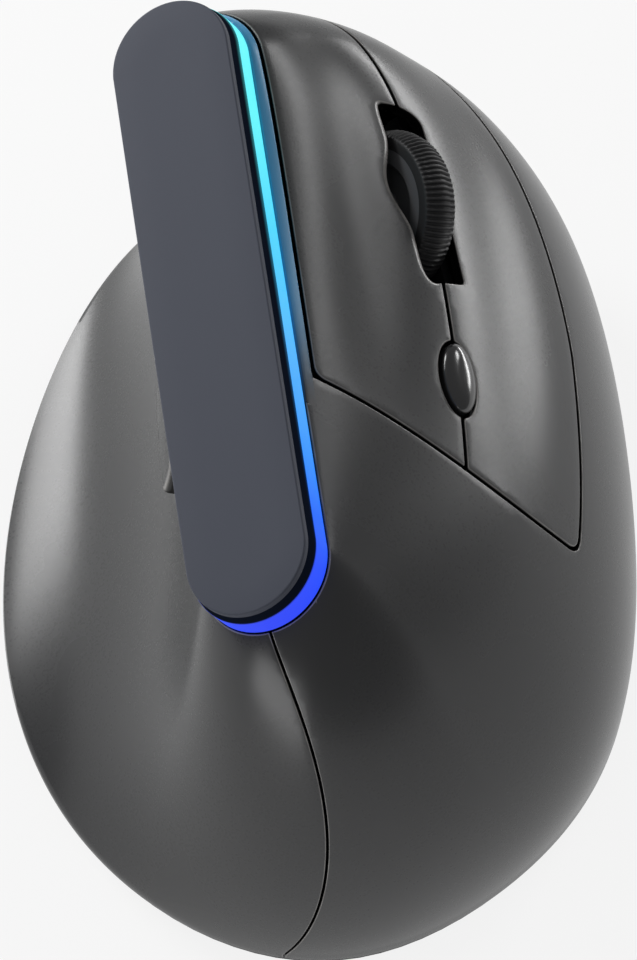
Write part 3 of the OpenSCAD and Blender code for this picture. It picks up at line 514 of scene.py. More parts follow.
@dataclass
class MouldedSkin:
    """Closed shell over a region of the body skin, with rolled outer edges and drafted walls."""

    skin: BodySkin
    outline: Outline
    holes: list[Outline] = field(default_factory=list)
    thick: float = 2.0
    lift: float = 0.0
    draft: float = 0.0
    pitch: float = 0.95
    spacing: float = 0.55
    flat: float = 0.1
    rim: float = 0.3
    fuse: float = 1e-7

    def _rows(self, outline: Outline, inward: float) -> tuple[Array, ...]:
        """Rows of points along a rolled edge.

        Args:
            outline: The edge line.
            inward: 1 where the material is inside the line, -1 where it is outside.

        Returns:
            The edge line, then for every row's points u and v, depth below the skin, draft steps and
            closeness to the edge.
        """
        line, roll = outline.closed()
        area = np.sum(line[:, 0] * np.roll(line[:, 1], -1) - line[:, 1] * np.roll(line[:, 0], -1))
        if area < 0:
            line, roll = line[::-1], roll[::-1]
        p = self.skin.body(*line.T)
        tangent = unit(np.roll(p, -1, 0) - np.roll(p, 1, 0))
        step = self.skin.shift(line, inward * np.cross(tangent, self.skin.normal(*line.T)))
        uv = np.concatenate([line + step * (roll * f)[:, None] for f in ROLL_ROWS])
        soft = np.where(roll > self.flat, roll, 0.0)
        depth = np.concatenate([soft * (1 - math.sqrt(1 - (1 - f) ** 2)) for f in ROLL_ROWS])
        slope = np.concatenate([step * self.draft * (1 - f) for f in ROLL_ROWS])
        near = np.concatenate([np.where(soft > 0, 1 - f, 0.0) for f in ROLL_ROWS])
        return line, uv, depth, slope, near

    def build(self, name: str) -> bpy.types.Object:
        """Makes the shell.

        Args:
            name: Name of the object.

        Returns:
            The object.
        """
        edges = [self._rows(self.outline, 1.0)] + [self._rows(h, -1.0) for h in self.holes]
        rings = [e[0] * PLAN for e in edges]
        low, high = rings[0].min(0), rings[0].max(0)
        axes = [np.arange(a + self.pitch / 2, b, self.pitch) for a, b in zip(low, high)]
        grid = np.stack(np.meshgrid(*axes, indexing="ij"), -1).reshape(-1, 2)
        grid = grid[inside(grid, rings[0])]
        for ring in rings[1:]:
            grid = grid[~inside(grid, ring)]
        rows = [e[1] * PLAN for e in edges]
        grid = grid[clearance(grid, np.concatenate(rows)) > self.pitch * self.spacing]
        plan = np.concatenate([*rows, grid])
        depth = np.concatenate([*[e[2] for e in edges], np.zeros(len(grid))])
        slope = np.concatenate([*[e[3] for e in edges], np.zeros((len(grid), 2))])
        near = np.concatenate([*[e[4] for e in edges], np.zeros(len(grid))])
        borders, at = [], 0
        for e in edges:
            n = len(e[0])
            borders.append(np.arange(at, at + n))
            at += len(e[1])
        wires = [(int(b[k]), int(b[(k + 1) % len(b)])) for b in borders for k in range(len(b))]
        found = delaunay_2d_cdt([Vector(q) for q in plan.tolist()], wires, [], 0, self.fuse)
        back = [o[0] if o else -1 for o in found[3]]
        if min(back) < 0:
            raise ValueError(f"{name}: its outline crosses itself")
        tris = np.array([[back[i] for i in f] for f in found[2]])
        middle = plan[tris].mean(1)
        keep = inside(middle, rings[0])
        for ring in rings[1:]:
            keep &= ~inside(middle, ring)
        tris = tris[keep]
        obj = self._close(name, plan / PLAN, depth, slope, tris, borders)
        # Edge attribute: 0 inside, rising across the rolled edge to 1 on the walls and inner face; finishes
        # paint a highlight across it and shade on the walls and in the joints.
        edge = obj.data.attributes.new("edge", "FLOAT", "POINT")
        edge.data.foreach_set("value", np.concatenate([near, np.ones(len(near))]).astype(np.float32))
        return obj

    def _close(
        self, name: str, uv: Array, depth: Array, slope: Array, tris: Array, borders: list[Array]
    ) -> bpy.types.Object:
        """Adds the inner face and the walls to an outer sheet of triangles.

        Args:
            name: Name of the object.
            uv: Rows of u and v.
            depth: Depth of each row below the skin.
            slope: Step in u and v to the drafted inner point.
            tris: Triangles of the sheet.
            borders: Row numbers along each edge.

        Returns:
            The object.
        """
        outer = self.skin.face(*uv.T, self.lift - depth)
        below = uv + slope
        inner = self._lining(self.skin.face(*below.T, self.lift - self.thick), below[:, 1])
        a, b, c = (outer[tris[:, k]] for k in range(3))
        facing = (np.cross(b - a, c - a) * self.skin.normal(*uv[tris[:, 0]].T)).sum(-1).sum()
        if facing < 0:
            tris = tris[:, ::-1]
        n = len(uv)
        faces = [*tris.tolist(), *(tris[:, ::-1] + n).tolist()]
        used = {(int(t[k]), int(t[(k + 1) % 3])) for t in tris for k in range(3)}
        for border in borders:
            for p, q in zip(border, np.roll(border, -1)):
                p, q = (int(p), int(q)) if (int(p), int(q)) in used else (int(q), int(p))
                faces.append([q, p, p + n, q + n])
        return mesh_piece(name, np.concatenate([outer, inner]), faces)

    def _lining(self, p: Array, v: Array) -> Array:
        """Inner face kept above the lip and below the crest plane."""
        top = self.skin.crest_rotation()[:, 2]
        over = np.clip(self.skin.crest_drop + (p - np.array(self.skin.crest_pos)) @ top, 0, None)
        p = p - over[:, None] * top
        floor = np.where(v < 0, self.skin.lip_z, self.skin.lip_z + self.rim)
        p[:, 2] = np.maximum(p[:, 2], floor)
        return p


# Geometry Nodes


# Types of socket
NUMBER, WHOLE, TINT = "NodeSocketFloat", "NodeSocketInt", "NodeSocketColor"
Socket = bpy.types.NodeSocket


class NodeGraph:
    """Small helper round a node tree: adds nodes and joins sockets by name."""

    def __init__(self, tree: bpy.types.NodeTree) -> None:
        """Keeps the tree to build in."""
        self.tree = tree

    def add(self, kind: str, sockets: dict | None = None, **settings) -> bpy.types.Node:
        """Adds a node.

        Args:
            kind: Type name of the node.
            sockets: Socket name or number, with a plain value or an output socket to join.
            settings: Properties of the node.

        Returns:
            The node.
        """
        node = self.tree.nodes.new(kind)
        for key, value in settings.items():
            setattr(node, key, value)
        self.feed(node, sockets or {})
        return node

    def feed(self, node: bpy.types.Node, sockets: dict) -> None:
        """Joins output sockets to a node's inputs, or sets plain values on them."""
        for key, value in sockets.items():
            if isinstance(value, Socket):
                self.tree.links.new(value, node.inputs[key])
            else:
                node.inputs[key].default_value = value

    def math(self, operation: str, *values) -> Socket:
        """Output of a Math node over the given values."""
        return self.add("ShaderNodeMath", dict(enumerate(values)), operation=operation).outputs[0]

    def spread(
        self, value: Socket, start: float, end: float,
        low: float = 0.0, high: float = 1.0, smooth: bool = False,
    ) -> Socket:
        """Value carried over from one range to another and held at its ends.

        Args:
            value: Socket with the value.
            start: Value that gives low.
            end: Value that gives high.
            low: Result at the start.
            high: Result at the end.
            smooth: Whether the run eases in and out.

        Returns:
            The socket with the result.
        """
        way = "SMOOTHSTEP" if smooth else "LINEAR"
        sockets = {0: value, 1: start, 2: end, 3: low, 4: high}
        return self.add("ShaderNodeMapRange", sockets, interpolation_type=way).outputs[0]

    def mix(self, share: Socket, first, second) -> Socket:
        """Colour a share of the way from the first to the second."""
        return self.add("ShaderNodeMix", {0: share, 6: first, 7: second}, data_type="RGBA").outputs[2]

    def axes(self, vector: Socket) -> bpy.types.NodeOutputs:
        """The X, Y and Z outputs of a vector."""
        return self.add("ShaderNodeSeparateXYZ", {0: vector}).outputs

    def vector(self, x=0.0, y=0.0, z=0.0) -> Socket:
        """Vector from three values."""
        return self.add("ShaderNodeCombineXYZ", {0: x, 1: y, 2: z}).outputs[0]

    def noise(self, at: Socket, scale, detail: float, rough: float = 0.5) -> Socket:
        """Height of a noise texture."""
        sockets = {"Vector": at, "Scale": scale, "Detail": detail, "Roughness": rough}
        return self.add("ShaderNodeTexNoise", sockets).outputs[0]


class ShapeTree:
    """Geometry Nodes tree with named inputs, turned into a plain mesh where it is used."""

    def __init__(self, name: str, inputs: dict[str, str]) -> None:
        """Makes an empty tree.

        Args:
            name: Name of the tree.
            inputs: Socket types by input name, besides the geometry.
        """
        self.tree = bpy.data.node_groups.new(name, "GeometryNodeTree")
        self.tree.interface.new_socket("Geometry", in_out="INPUT", socket_type="NodeSocketGeometry")
        for key, kind in {**inputs, "Finish": "NodeSocketMaterial"}.items():
            self.tree.interface.new_socket(key, in_out="INPUT", socket_type=kind)
        self.tree.interface.new_socket("Geometry", in_out="OUTPUT", socket_type="NodeSocketGeometry")
        self.graph = NodeGraph(self.tree)
        self.given = self.graph.add("NodeGroupInput").outputs

    def close(self, geometry: bpy.types.NodeSocket) -> "ShapeTree":
        """Ends the tree in Realize Instances and Set Material.

        Args:
            geometry: Socket with the finished shape.

        Returns:
            The tree itself.
        """
        real = self.graph.add("GeometryNodeRealizeInstances", {0: geometry}).outputs[0]
        sockets = {"Geometry": real, "Material": self.given["Finish"]}
        dressed = self.graph.add("GeometryNodeSetMaterial", sockets)
        self.graph.add("NodeGroupOutput", {0: dressed.outputs[0]})
        return self

    def mesh(
        self, name: str, seed: bpy.types.Mesh, values: dict, finish: bpy.types.Material
    ) -> bpy.types.Object:
        """Runs the tree on a mesh and keeps the result as a plain mesh.

        Args:
            name: Name of the object.
            seed: Mesh that the tree starts from.
            values: Value of each named input.
            finish: Material of the result.

        Returns:
            The object, with no modifier left on it.
        """
        obj = link(name, seed)
        mod = obj.modifiers.new(name, "NODES")
        mod.node_group = self.tree
        by_name = {s.name: s.identifier for s in self.tree.interface.items_tree if s.in_out == "INPUT"}
        for key, value in {**values, "Finish": finish}.items():
            mod[by_name[key]] = value
        bpy.context.view_layer.update()
        graph = bpy.context.evaluated_depsgraph_get()
        made = bpy.data.meshes.new_from_object(obj.evaluated_get(graph))
        obj.modifiers.remove(mod)
        obj.data = made
        made.name = name
        return obj


def line_mesh(name: str, rows: Sequence[Sequence[float]], closed: bool) -> bpy.types.Mesh:
    """Mesh of edges through points in millimetres, the section that a tree sweeps."""
    mesh = bpy.data.meshes.new(name)
    n = len(rows)
    pairs = [(k, (k + 1) % n) for k in range(n if closed else n - 1)]
    mesh.from_pydata([[c * MM for c in (*r, 0)[:3]] for r in rows], pairs, [])
    return mesh


def point_mesh(name: str, rows: Sequence[Sequence[float]]) -> bpy.types.Mesh:
    """Mesh of loose points in millimetres, the places that a tree puts copies on."""
    mesh = bpy.data.meshes.new(name)
    mesh.from_pydata([[c * MM for c in r] for r in rows], [], [])
    return mesh


def finish_mesh(obj: bpy.types.Object, place: Matrix, merge: float = 2e-6, sharp: float = 40.0) -> None:
    """Merges doubles, closes open ends, turns faces outwards, moves the mesh to its place and smooths it.

    Args:
        obj: The object.
        place: Placement in metres.
        merge: Distance in metres under which points are one.
        sharp: Edges that bend more than this many degrees stay sharp.
    """
    work = bmesh.new()
    work.from_mesh(obj.data)
    bmesh.ops.remove_doubles(work, verts=work.verts, dist=merge)
    bmesh.ops.dissolve_degenerate(work, edges=work.edges, dist=merge)
    bmesh.ops.holes_fill(work, edges=[e for e in work.edges if e.is_boundary], sides=0)
    bmesh.ops.recalc_face_normals(work, faces=work.faces)
    work.to_mesh(obj.data)
    work.free()
    obj.data.transform(place)
    obj.data.shade_smooth()
    obj.data.set_sharp_from_angle(angle=math.radians(sharp))


def circle_path(made: ShapeTree) -> Socket:
    """Circle of the tree's Radius, in its number of Steps."""
    sizes = {"Resolution": made.given["Steps"], "Radius": made.given["Radius"]}
    return made.graph.add("GeometryNodeCurvePrimitiveCircle", sizes).outputs["Curve"]


def sweep_along(made: ShapeTree, path: Socket) -> Socket:
    """The tree's own edges as a section, swept along a path."""
    section = made.graph.add("GeometryNodeMeshToCurve", {0: made.given["Geometry"]}).outputs[0]
    return made.graph.add("GeometryNodeCurveToMesh", {"Curve": path, "Profile Curve": section}).outputs[0]


# Metres under which a point of the circle counts as lying on its cross axis
ON_AXIS = 1e-5


def stadium_tree() -> ShapeTree:
    """Tree that sweeps a section round a stadium path: x outwards from the path, y downwards."""
    made = ShapeTree("stadium_sweep", {"Half Length": NUMBER, "Radius": NUMBER, "Steps": WHOLE})
    g = made.graph
    place = g.axes(g.add("GeometryNodeInputPosition").outputs[0])
    side = g.math("SIGN", g.math("SNAP", place["Y"], ON_AXIS))
    apart = g.vector(y=g.math("MULTIPLY", side, made.given["Half Length"]))
    path = g.add("GeometryNodeSetPosition", {"Geometry": circle_path(made), "Offset": apart})
    return made.close(sweep_along(made, path.outputs[0]))


# Steepness of a rib's flanks, share of the half width where ribs fade, share of the radius where they start
RIB_FLANK, RIB_FADE, RIB_START = 1.6, 0.84, 0.9


def rim_tree() -> ShapeTree:
    """Tree that turns a section round the wheel's axis and raises ribs across its crown."""
    sizes = {"Radius": NUMBER, "Ribs": NUMBER, "Rib Depth": NUMBER, "Crown": NUMBER, "Steps": WHOLE}
    made = ShapeTree("ribbed_rim", sizes)
    g, given = made.graph, made.given
    swept = sweep_along(made, circle_path(made))
    place = g.axes(g.add("GeometryNodeInputPosition").outputs[0])
    angle = g.math("ARCTAN2", place["Y"], place["X"])
    wave = g.math("SINE", g.math("MULTIPLY", angle, given["Ribs"]))
    ridge = g.math("MULTIPLY_ADD", g.math("TANH", g.math("MULTIPLY", wave, RIB_FLANK)), 0.5, -0.5)
    reach = g.math("DIVIDE", g.math("ABSOLUTE", place["Z"]), given["Crown"])
    near = g.spread(reach, RIB_FADE, 1.0, 1.0, 0.0, True)
    far = g.math("SQRT", g.math("ADD", g.math("POWER", place["X"], 2.0), g.math("POWER", place["Y"], 2.0)))
    outer = g.math("GREATER_THAN", far, g.math("MULTIPLY", given["Radius"], RIB_START))
    depth = g.math("MULTIPLY", g.math("MULTIPLY", ridge, given["Rib Depth"]), g.math("MULTIPLY", near, outer))
    flat = g.vector(place["X"], place["Y"])
    move = g.add("ShaderNodeVectorMath", {0: flat, "Scale": g.math("DIVIDE", depth, far)}, operation="SCALE")
    ribbed = g.add("GeometryNodeSetPosition", {"Geometry": swept, "Offset": move.outputs[0]})
    return made.close(ribbed.outputs[0])


# Height and place of a screw's recess as shares of its head's height, and the shank's step into it in metres
RECESS_HEIGHT, RECESS_PLACE, SHANK_STEP = 1.2, -0.6, -0.0001
SCREW_SIZES = ("Head Radius", "Head Height", "Shank Radius", "Shank Length", "Recess Length", "Recess Width")


def screw_tree() -> ShapeTree:
    """Tree that puts a cross-recessed screw on every point, head down."""
    made = ShapeTree("screw_set", {s: NUMBER for s in SCREW_SIZES})
    g, given = made.graph, made.given

    def rod(sides: int, radius: str, length: str) -> Socket:
        """Round rod with two of the inputs as its radius and length."""
        sockets = {"Vertices": sides, "Radius": given[radius], "Depth": given[length]}
        return g.add("GeometryNodeMeshCylinder", sockets).outputs[0]

    def moved(shape: Socket, rise: Socket) -> Socket:
        """Shape moved along the screw."""
        return g.add("GeometryNodeTransform", {"Geometry": shape, "Translation": g.vector(z=rise)}).outputs[0]

    head = rod(32, "Head Radius", "Head Height")
    cut = g.add("GeometryNodeMeshBoolean", {"Mesh 1": head}, operation="DIFFERENCE")
    tall = g.math("MULTIPLY", given["Head Height"], RECESS_HEIGHT)
    low = g.math("MULTIPLY", given["Head Height"], RECESS_PLACE)
    for a, b in (("Recess Length", "Recess Width"), ("Recess Width", "Recess Length")):
        bar = g.add("GeometryNodeMeshCube", {"Size": g.vector(given[a], given[b], tall)}).outputs[0]
        g.tree.links.new(moved(bar, low), cut.inputs["Mesh 2"])
    both = g.math("ADD", given["Shank Length"], given["Head Height"])
    stem = moved(rod(20, "Shank Radius", "Shank Length"), g.math("MULTIPLY_ADD", both, 0.5, SHANK_STEP))
    screw = g.add("GeometryNodeJoinGeometry")
    for part in (stem, cut.outputs[0]):
        g.tree.links.new(part, screw.inputs[0])
    copies = {"Points": given["Geometry"], "Instance": screw.outputs[0]}
    return made.close(g.add("GeometryNodeInstanceOnPoints", copies).outputs[0])


# Finishes


Colour = tuple[float, float, float]


def effect_group(
    name: str, inputs: dict[str, tuple[str, object]], outputs: dict[str, str]
) -> tuple[bpy.types.NodeTree, NodeGraph]:
    """Empty shader node group with named sockets.

    Args:
        name: Name of the group.
        inputs: Socket type and default by input name.
        outputs: Socket type by output name.

    Returns:
        The group and a helper to build in it.
    """
    tree = bpy.data.node_groups.new(name, "ShaderNodeTree")
    for key, (kind, default) in inputs.items():
        tree.interface.new_socket(key, in_out="INPUT", socket_type=kind).default_value = default
    for key, kind in outputs.items():
        tree.interface.new_socket(key, in_out="OUTPUT", socket_type=kind)
    return tree, NodeGraph(tree)


def grain_group() -> bpy.types.NodeTree:
    """Moulded grain: height of a fine stipple, and the few grains that catch the light."""
    tree, g = effect_group("moulded_grain", {"Scale": (NUMBER, 3000.0)}, {"Height": NUMBER, "Glint": NUMBER})
    given = g.add("NodeGroupInput").outputs
    at = g.add("ShaderNodeTexCoord").outputs["Object"]
    stipple = g.noise(at, given["Scale"], 2.0, 0.6)
    wide = g.noise(at, g.math("MULTIPLY", given["Scale"], 0.23), 1.0)
    height = g.math("MULTIPLY_ADD", wide, 0.35, stipple)
    cells = g.add("ShaderNodeTexVoronoi", {"Vector": at, "Scale": given["Scale"]}).outputs["Color"]
    pick = g.add("ShaderNodeSeparateColor", {0: cells}).outputs[0]
    g.add("NodeGroupOutput", {"Height": height, "Glint": g.spread(pick, 0.8, 1.0)})
    return tree


def drift_group() -> bpy.types.NodeTree:
    """Slow drift of tone over a surface, from a base colour towards a second one."""
    grey = (TINT, (0.1, 0.1, 0.1, 1.0))
    inputs = {"Base": grey, "Second": grey, "Scale": (NUMBER, 40.0)}
    tree, g = effect_group("tone_drift", inputs, {"Color": TINT, "Share": NUMBER})
    given = g.add("NodeGroupInput").outputs
    at = g.add("ShaderNodeTexCoord").outputs["Object"]
    share = g.spread(g.noise(at, given["Scale"], 3.0), 0.3, 0.7)
    g.add("NodeGroupOutput", {"Color": g.mix(share, given["Base"], given["Second"]), "Share": share})
    return tree


def edge_light_and_shade_group() -> bpy.types.NodeTree:
    """Painted highlight along the mesh's edges, patchy like rubbing, and painted shade that darkens down in
    the joints.
    """
    grey, pale = (TINT, (0.1, 0.1, 0.1, 1.0)), (TINT, (0.3, 0.3, 0.3, 1.0))
    inputs = {"Color": grey, "Highlight": pale, "Amount": (NUMBER, 0.3)}
    tree, g = effect_group("painted_edge_light_and_shade", inputs, {"Color": TINT})
    given = g.add("NodeGroupInput").outputs
    at = g.add("ShaderNodeTexCoord").outputs["Object"]
    edge = g.add("ShaderNodeAttribute", attribute_name="edge").outputs["Fac"]
    patchy = g.math("MULTIPLY", g.noise(at, 260.0, 2.0), 6.0)
    # band: a painted highlight across the middle of each rolled edge
    band = g.math("MULTIPLY", edge, g.math("SUBTRACT", 1.0, edge))
    highlight_mask = g.math("MULTIPLY", g.math("MULTIPLY", band, patchy), given["Amount"])
    # joint_shade: painted shade, near black on the walls and inner faces
    joint_shade = g.spread(edge, 0.55, 0.9, 1.0, 0.06)
    tone = g.mix(highlight_mask, given["Color"], given["Highlight"])
    shaded = g.add("ShaderNodeVectorMath", {0: tone, "Scale": joint_shade}, operation="SCALE")
    g.add("NodeGroupOutput", {"Color": shaded.outputs[0]})
    return tree


class Effects:
    """Shared shader groups, each built once."""

    def __init__(self) -> None:
        """Builds the groups."""
        self.grain = grain_group()
        self.drift = drift_group()
        self.painted_edge_light = edge_light_and_shade_group()


class Finish(Protocol):
    """What every finish can do."""

    def build(self, effects: Effects) -> bpy.types.Material:
        """Makes the material."""


def rgba(c: Colour) -> tuple[float, float, float, float]:
    """Colour with full alpha."""
    return (*c, 1.0)


def grained(g: NodeGraph, effects: Effects, scale: float, depth: float) -> tuple[Sequence[Socket], Socket]:
    """Moulded grain as a bump.

    Args:
        g: Helper of the tree.
        effects: Shared shader groups.
        scale: Grains per metre.
        depth: Depth of the bump in millimetres.

    Returns:
        The grain's own outputs and the bumped normal.
    """
    grain = g.add("ShaderNodeGroup", {"Scale": scale}, node_tree=effects.grain).outputs
    bump = g.add("ShaderNodeBump", {"Height": grain["Height"], "Distance": depth * MM})
    return grain, bump.outputs[0]


@dataclass(frozen=True)
class Moulding:
    """Moulded or painted finish: tone that drifts, fine grain, a painted highlight along the edges and
    painted shade in the joints.
    """

    name: str
    base: Colour
    second: Colour
    rough: float
    spread: float = 0.06
    grain: float = 3000.0
    depth: float = 0.01
    glint: float = 0.0
    highlight_tint: Colour = (0.2, 0.2, 0.2)
    painted_edge_light: float = 0.3
    drift: float = 45.0
    metallic: float = 0.0
    coat: float = 0.0
    specular: float = 0.5

    def build(self, effects: Effects) -> bpy.types.Material:
        """Makes the material.

        Args:
            effects: Shared shader groups.

        Returns:
            The material.
        """
        mat, g, shader = new_material(self.name)
        tones = {"Base": rgba(self.base), "Second": rgba(self.second), "Scale": self.drift}
        tone = g.add("ShaderNodeGroup", tones, node_tree=effects.drift).outputs
        # Painted edge highlight and painted joint shade, placed by the mesh's edge attribute.
        edge_inputs = {"Color": tone["Color"], "Highlight": rgba(self.highlight_tint), "Amount": self.painted_edge_light}
        edge_painted = g.add("ShaderNodeGroup", edge_inputs, node_tree=effects.painted_edge_light).outputs
        grain, bump = grained(g, effects, self.grain, self.depth)
        rough = g.spread(tone["Share"], 0.0, 1.0, self.rough - self.spread, self.rough + self.spread)
        if self.glint:
            rough = g.math("MULTIPLY_ADD", grain["Glint"], -self.glint, rough)
        g.feed(shader, {"Base Color": edge_painted["Color"], "Roughness": rough, "Normal": bump})
        g.feed(shader, {"Metallic": self.metallic, "Coat Weight": self.coat})
        g.feed(shader, {"Specular IOR Level": self.specular})
        return mat


def new_material(name: str) -> tuple[bpy.types.Material, NodeGraph, bpy.types.Node]:
    """Empty material with a Principled shader.

    Args:
        name: Name of the material.

    Returns:
        The material, a helper to build in it and the shader node.
    """
    mat = bpy.data.materials.new(name)
    mat.use_nodes = True
    mat.node_tree.nodes.clear()
    g = NodeGraph(mat.node_tree)
    shader = g.add("ShaderNodeBsdfPrincipled")
    g.add("ShaderNodeOutputMaterial", {0: shader.outputs[0]})
    return mat, g, shader


def ramp(g: NodeGraph, share, stops: Sequence[tuple[float, Colour]]) -> bpy.types.NodeSocket:
    """Colour that runs through stops.

    Args:
        g: Helper of the tree.
        share: Socket with the place along the run, 0 to 1.
        stops: Place and colour of each stop.

    Returns:
        The colour socket.
    """
    node = g.add("ShaderNodeValToRGB", {0: share})
    band = node.color_ramp
    while len(band.elements) < len(stops):
        band.elements.new(1.0)
    for element, (at, colour) in zip(band.elements, stops):
        element.position = at
        element.color = rgba(colour)
    return node.outputs[0]


LIGHT_STOPS: tuple[tuple[float, Colour], ...] = (
    (0.0, (0.03, 0.06, 0.92)), (0.06, (0.012, 0.07, 1.0)), (0.14, (0.0, 0.13, 1.0)),
    (0.24, (0.02, 0.28, 1.0)), (0.40, (0.07, 0.44, 1.0)), (0.60, (0.065, 0.66, 0.98)),
    (0.78, (0.12, 0.90, 0.98)), (1.0, (0.14, 0.94, 1.0)),
)


@dataclass(frozen=True)
class LitBand:
    """Frosted light band, lit from deep blue at the heel to cyan at the front; on the bezel its glow is
    painted LED light.
    """

    name: str
    stops: tuple[tuple[float, Colour], ...] = LIGHT_STOPS
    strength: float = 1.0
    floor: float = 0.5
    rise: tuple[float, float] = (0.9, 1.0)
    base: Colour = (0.02, 0.03, 0.05)
    rough: float = 0.3
    specular: float = 0.5
    unlit: Colour = (0.0, 0.002, 0.012)
    grain: float = 1800.0
    depth: float = 0.004
    mottle: tuple[float, float] = (0.08, 0.95)

    def build(self, effects: Effects) -> bpy.types.Material:
        """Makes the material.

        Args:
            effects: Shared shader groups.

        Returns:
            The material.
        """
        mat, g, shader = new_material(self.name)
        along = g.add("ShaderNodeAttribute", attribute_name="along").outputs["Fac"]
        height = g.add("ShaderNodeAttribute", attribute_name="rise").outputs["Fac"]
        grain, bump = grained(g, effects, self.grain, self.depth)
        level = g.spread(height, *self.rise, 1.0, self.floor, True)
        level = g.math("MULTIPLY", level, g.math("MULTIPLY_ADD", grain["Height"], *self.mottle))
        lit = g.mix(level, rgba(self.unlit), ramp(g, along, self.stops))
        tones = {"Base": rgba(self.base), "Second": rgba(self.base)}
        tint = g.add("ShaderNodeGroup", tones, node_tree=effects.drift).outputs["Color"]
        g.feed(shader, {"Emission Color": lit, "Emission Strength": self.strength, "Normal": bump})
        g.feed(shader, {"Base Color": tint, "Roughness": self.rough, "Specular IOR Level": self.specular})
        return mat


@dataclass(frozen=True)
class TrimWithPaintedLedLight:
    """Satin strip in the body's grey, with slate blue painted towards the front as the LED's light falling on
    it.
    """

    name: str
    # front is painted LED light on the grey strip; rear is the strip's own grey.
    front: Colour = (0.055, 0.23, 0.41)
    rear: Colour = (0.0285, 0.029, 0.03)
    span: tuple[float, float] = (-8.0, 10.0)
    rough: float = 0.28
    specular: float = 0.42
    grain: float = 3600.0
    depth: float = 0.006

    def build(self, effects: Effects) -> bpy.types.Material:
        """Makes the material.

        Args:
            effects: Shared shader groups.

        Returns:
            The material.
        """
        mat, g, shader = new_material(self.name)
        place = g.axes(g.add("ShaderNodeTexCoord").outputs["Object"])
        share = g.spread(place["Y"], *(y * MM for y in self.span), smooth=True)
        tone = ramp(g, share, ((0.0, self.rear), (1.0, self.front)))
        bump = grained(g, effects, self.grain, self.depth)[1]
        g.feed(shader, {"Base Color": tone, "Normal": bump})
        g.feed(shader, {"Roughness": self.rough, "Specular IOR Level": self.specular})
        return mat


@dataclass(frozen=True)
class SolderMask:
    """Circuit board: lacquer over fine copper tracks."""

    name: str
    lacquer: Colour = (0.008, 0.07, 0.028)
    track: Colour = (0.015, 0.13, 0.05)
    scale: float = 420.0
    edge: tuple[float, float] = (0.42, 0.5)
    grain: float = 0.1
    depth: float = 0.02
    rough: float = 0.3

    def build(self, effects: Effects) -> bpy.types.Material:
        """Makes the material.

        Args:
            effects: Shared shader groups.

        Returns:
            The material.
        """
        mat, g, shader = new_material(self.name)
        cells = {"Vector": g.add("ShaderNodeTexCoord").outputs["Object"], "Scale": self.scale}
        tracks = g.add("ShaderNodeTexVoronoi", cells, distance="CHEBYCHEV", feature="F1").outputs["Distance"]
        lines = g.spread(tracks, *self.edge)
        grain = g.add("ShaderNodeGroup", node_tree=effects.grain).outputs["Height"]
        height = g.math("MULTIPLY_ADD", grain, self.grain, lines)
        bump = g.add("ShaderNodeBump", {"Height": height, "Distance": self.depth * MM}).outputs[0]
        tone = ramp(g, lines, ((0.0, self.lacquer), (1.0, self.track)))
        g.feed(shader, {"Base Color": tone, "Normal": bump, "Roughness": self.rough})
        return mat


@dataclass(frozen=True)
class ClearMoulding:
    """Clear moulded lens with a faint drift in its gloss."""

    name: str
    tint: Colour = (0.9, 0.95, 1.0)
    second: Colour = (0.846, 0.893, 0.94)
    gloss: tuple[float, float] = (0.06, 0.04)
    clear: float = 0.9
    index: float = 1.49

    def build(self, effects: Effects) -> bpy.types.Material:
        """Makes the material.

        Args:
            effects: Shared shader groups.

        Returns:
            The material.
        """
        mat, g, shader = new_material(self.name)
        tones = {"Base": rgba(self.tint), "Second": rgba(self.second)}
        tone = g.add("ShaderNodeGroup", tones, node_tree=effects.drift).outputs
        rough = g.math("MULTIPLY_ADD", tone["Share"], *self.gloss)
        g.feed(shader, {"Base Color": tone["Color"], "Roughness": rough})
        g.feed(shader, {"Transmission Weight": self.clear, "IOR": self.index})
        return mat


class Slot(Enum):
    """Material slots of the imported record."""

    SOFT_GREY = "soft_grey"
    SLATE_PANEL = "slate_panel"
    NAVY_BEZEL = "navy_bezel"
    LIGHT_BAND = "light_band"
    SLATE_TRIM = "slate_trim"
    BASE_BLACK = "base_black"
    GLIDE_WHITE = "glide_white"
    STEEL = "steel"
    FRAME_GREY = "frame_grey"
    BOARD_GREEN = "board_green"
    BOARD_WHITE = "board_white"
    CLEAR_LENS = "clear_lens"
    CELL_WRAP = "cell_wrap"
    KNOB_ORANGE = "knob_orange"
    PLUNGER_RED = "plunger_red"
    TYRE_RUBBER = "tyre_rubber"
    HUB_GREY = "hub_grey"
    GLOSS_BLACK = "gloss_black"


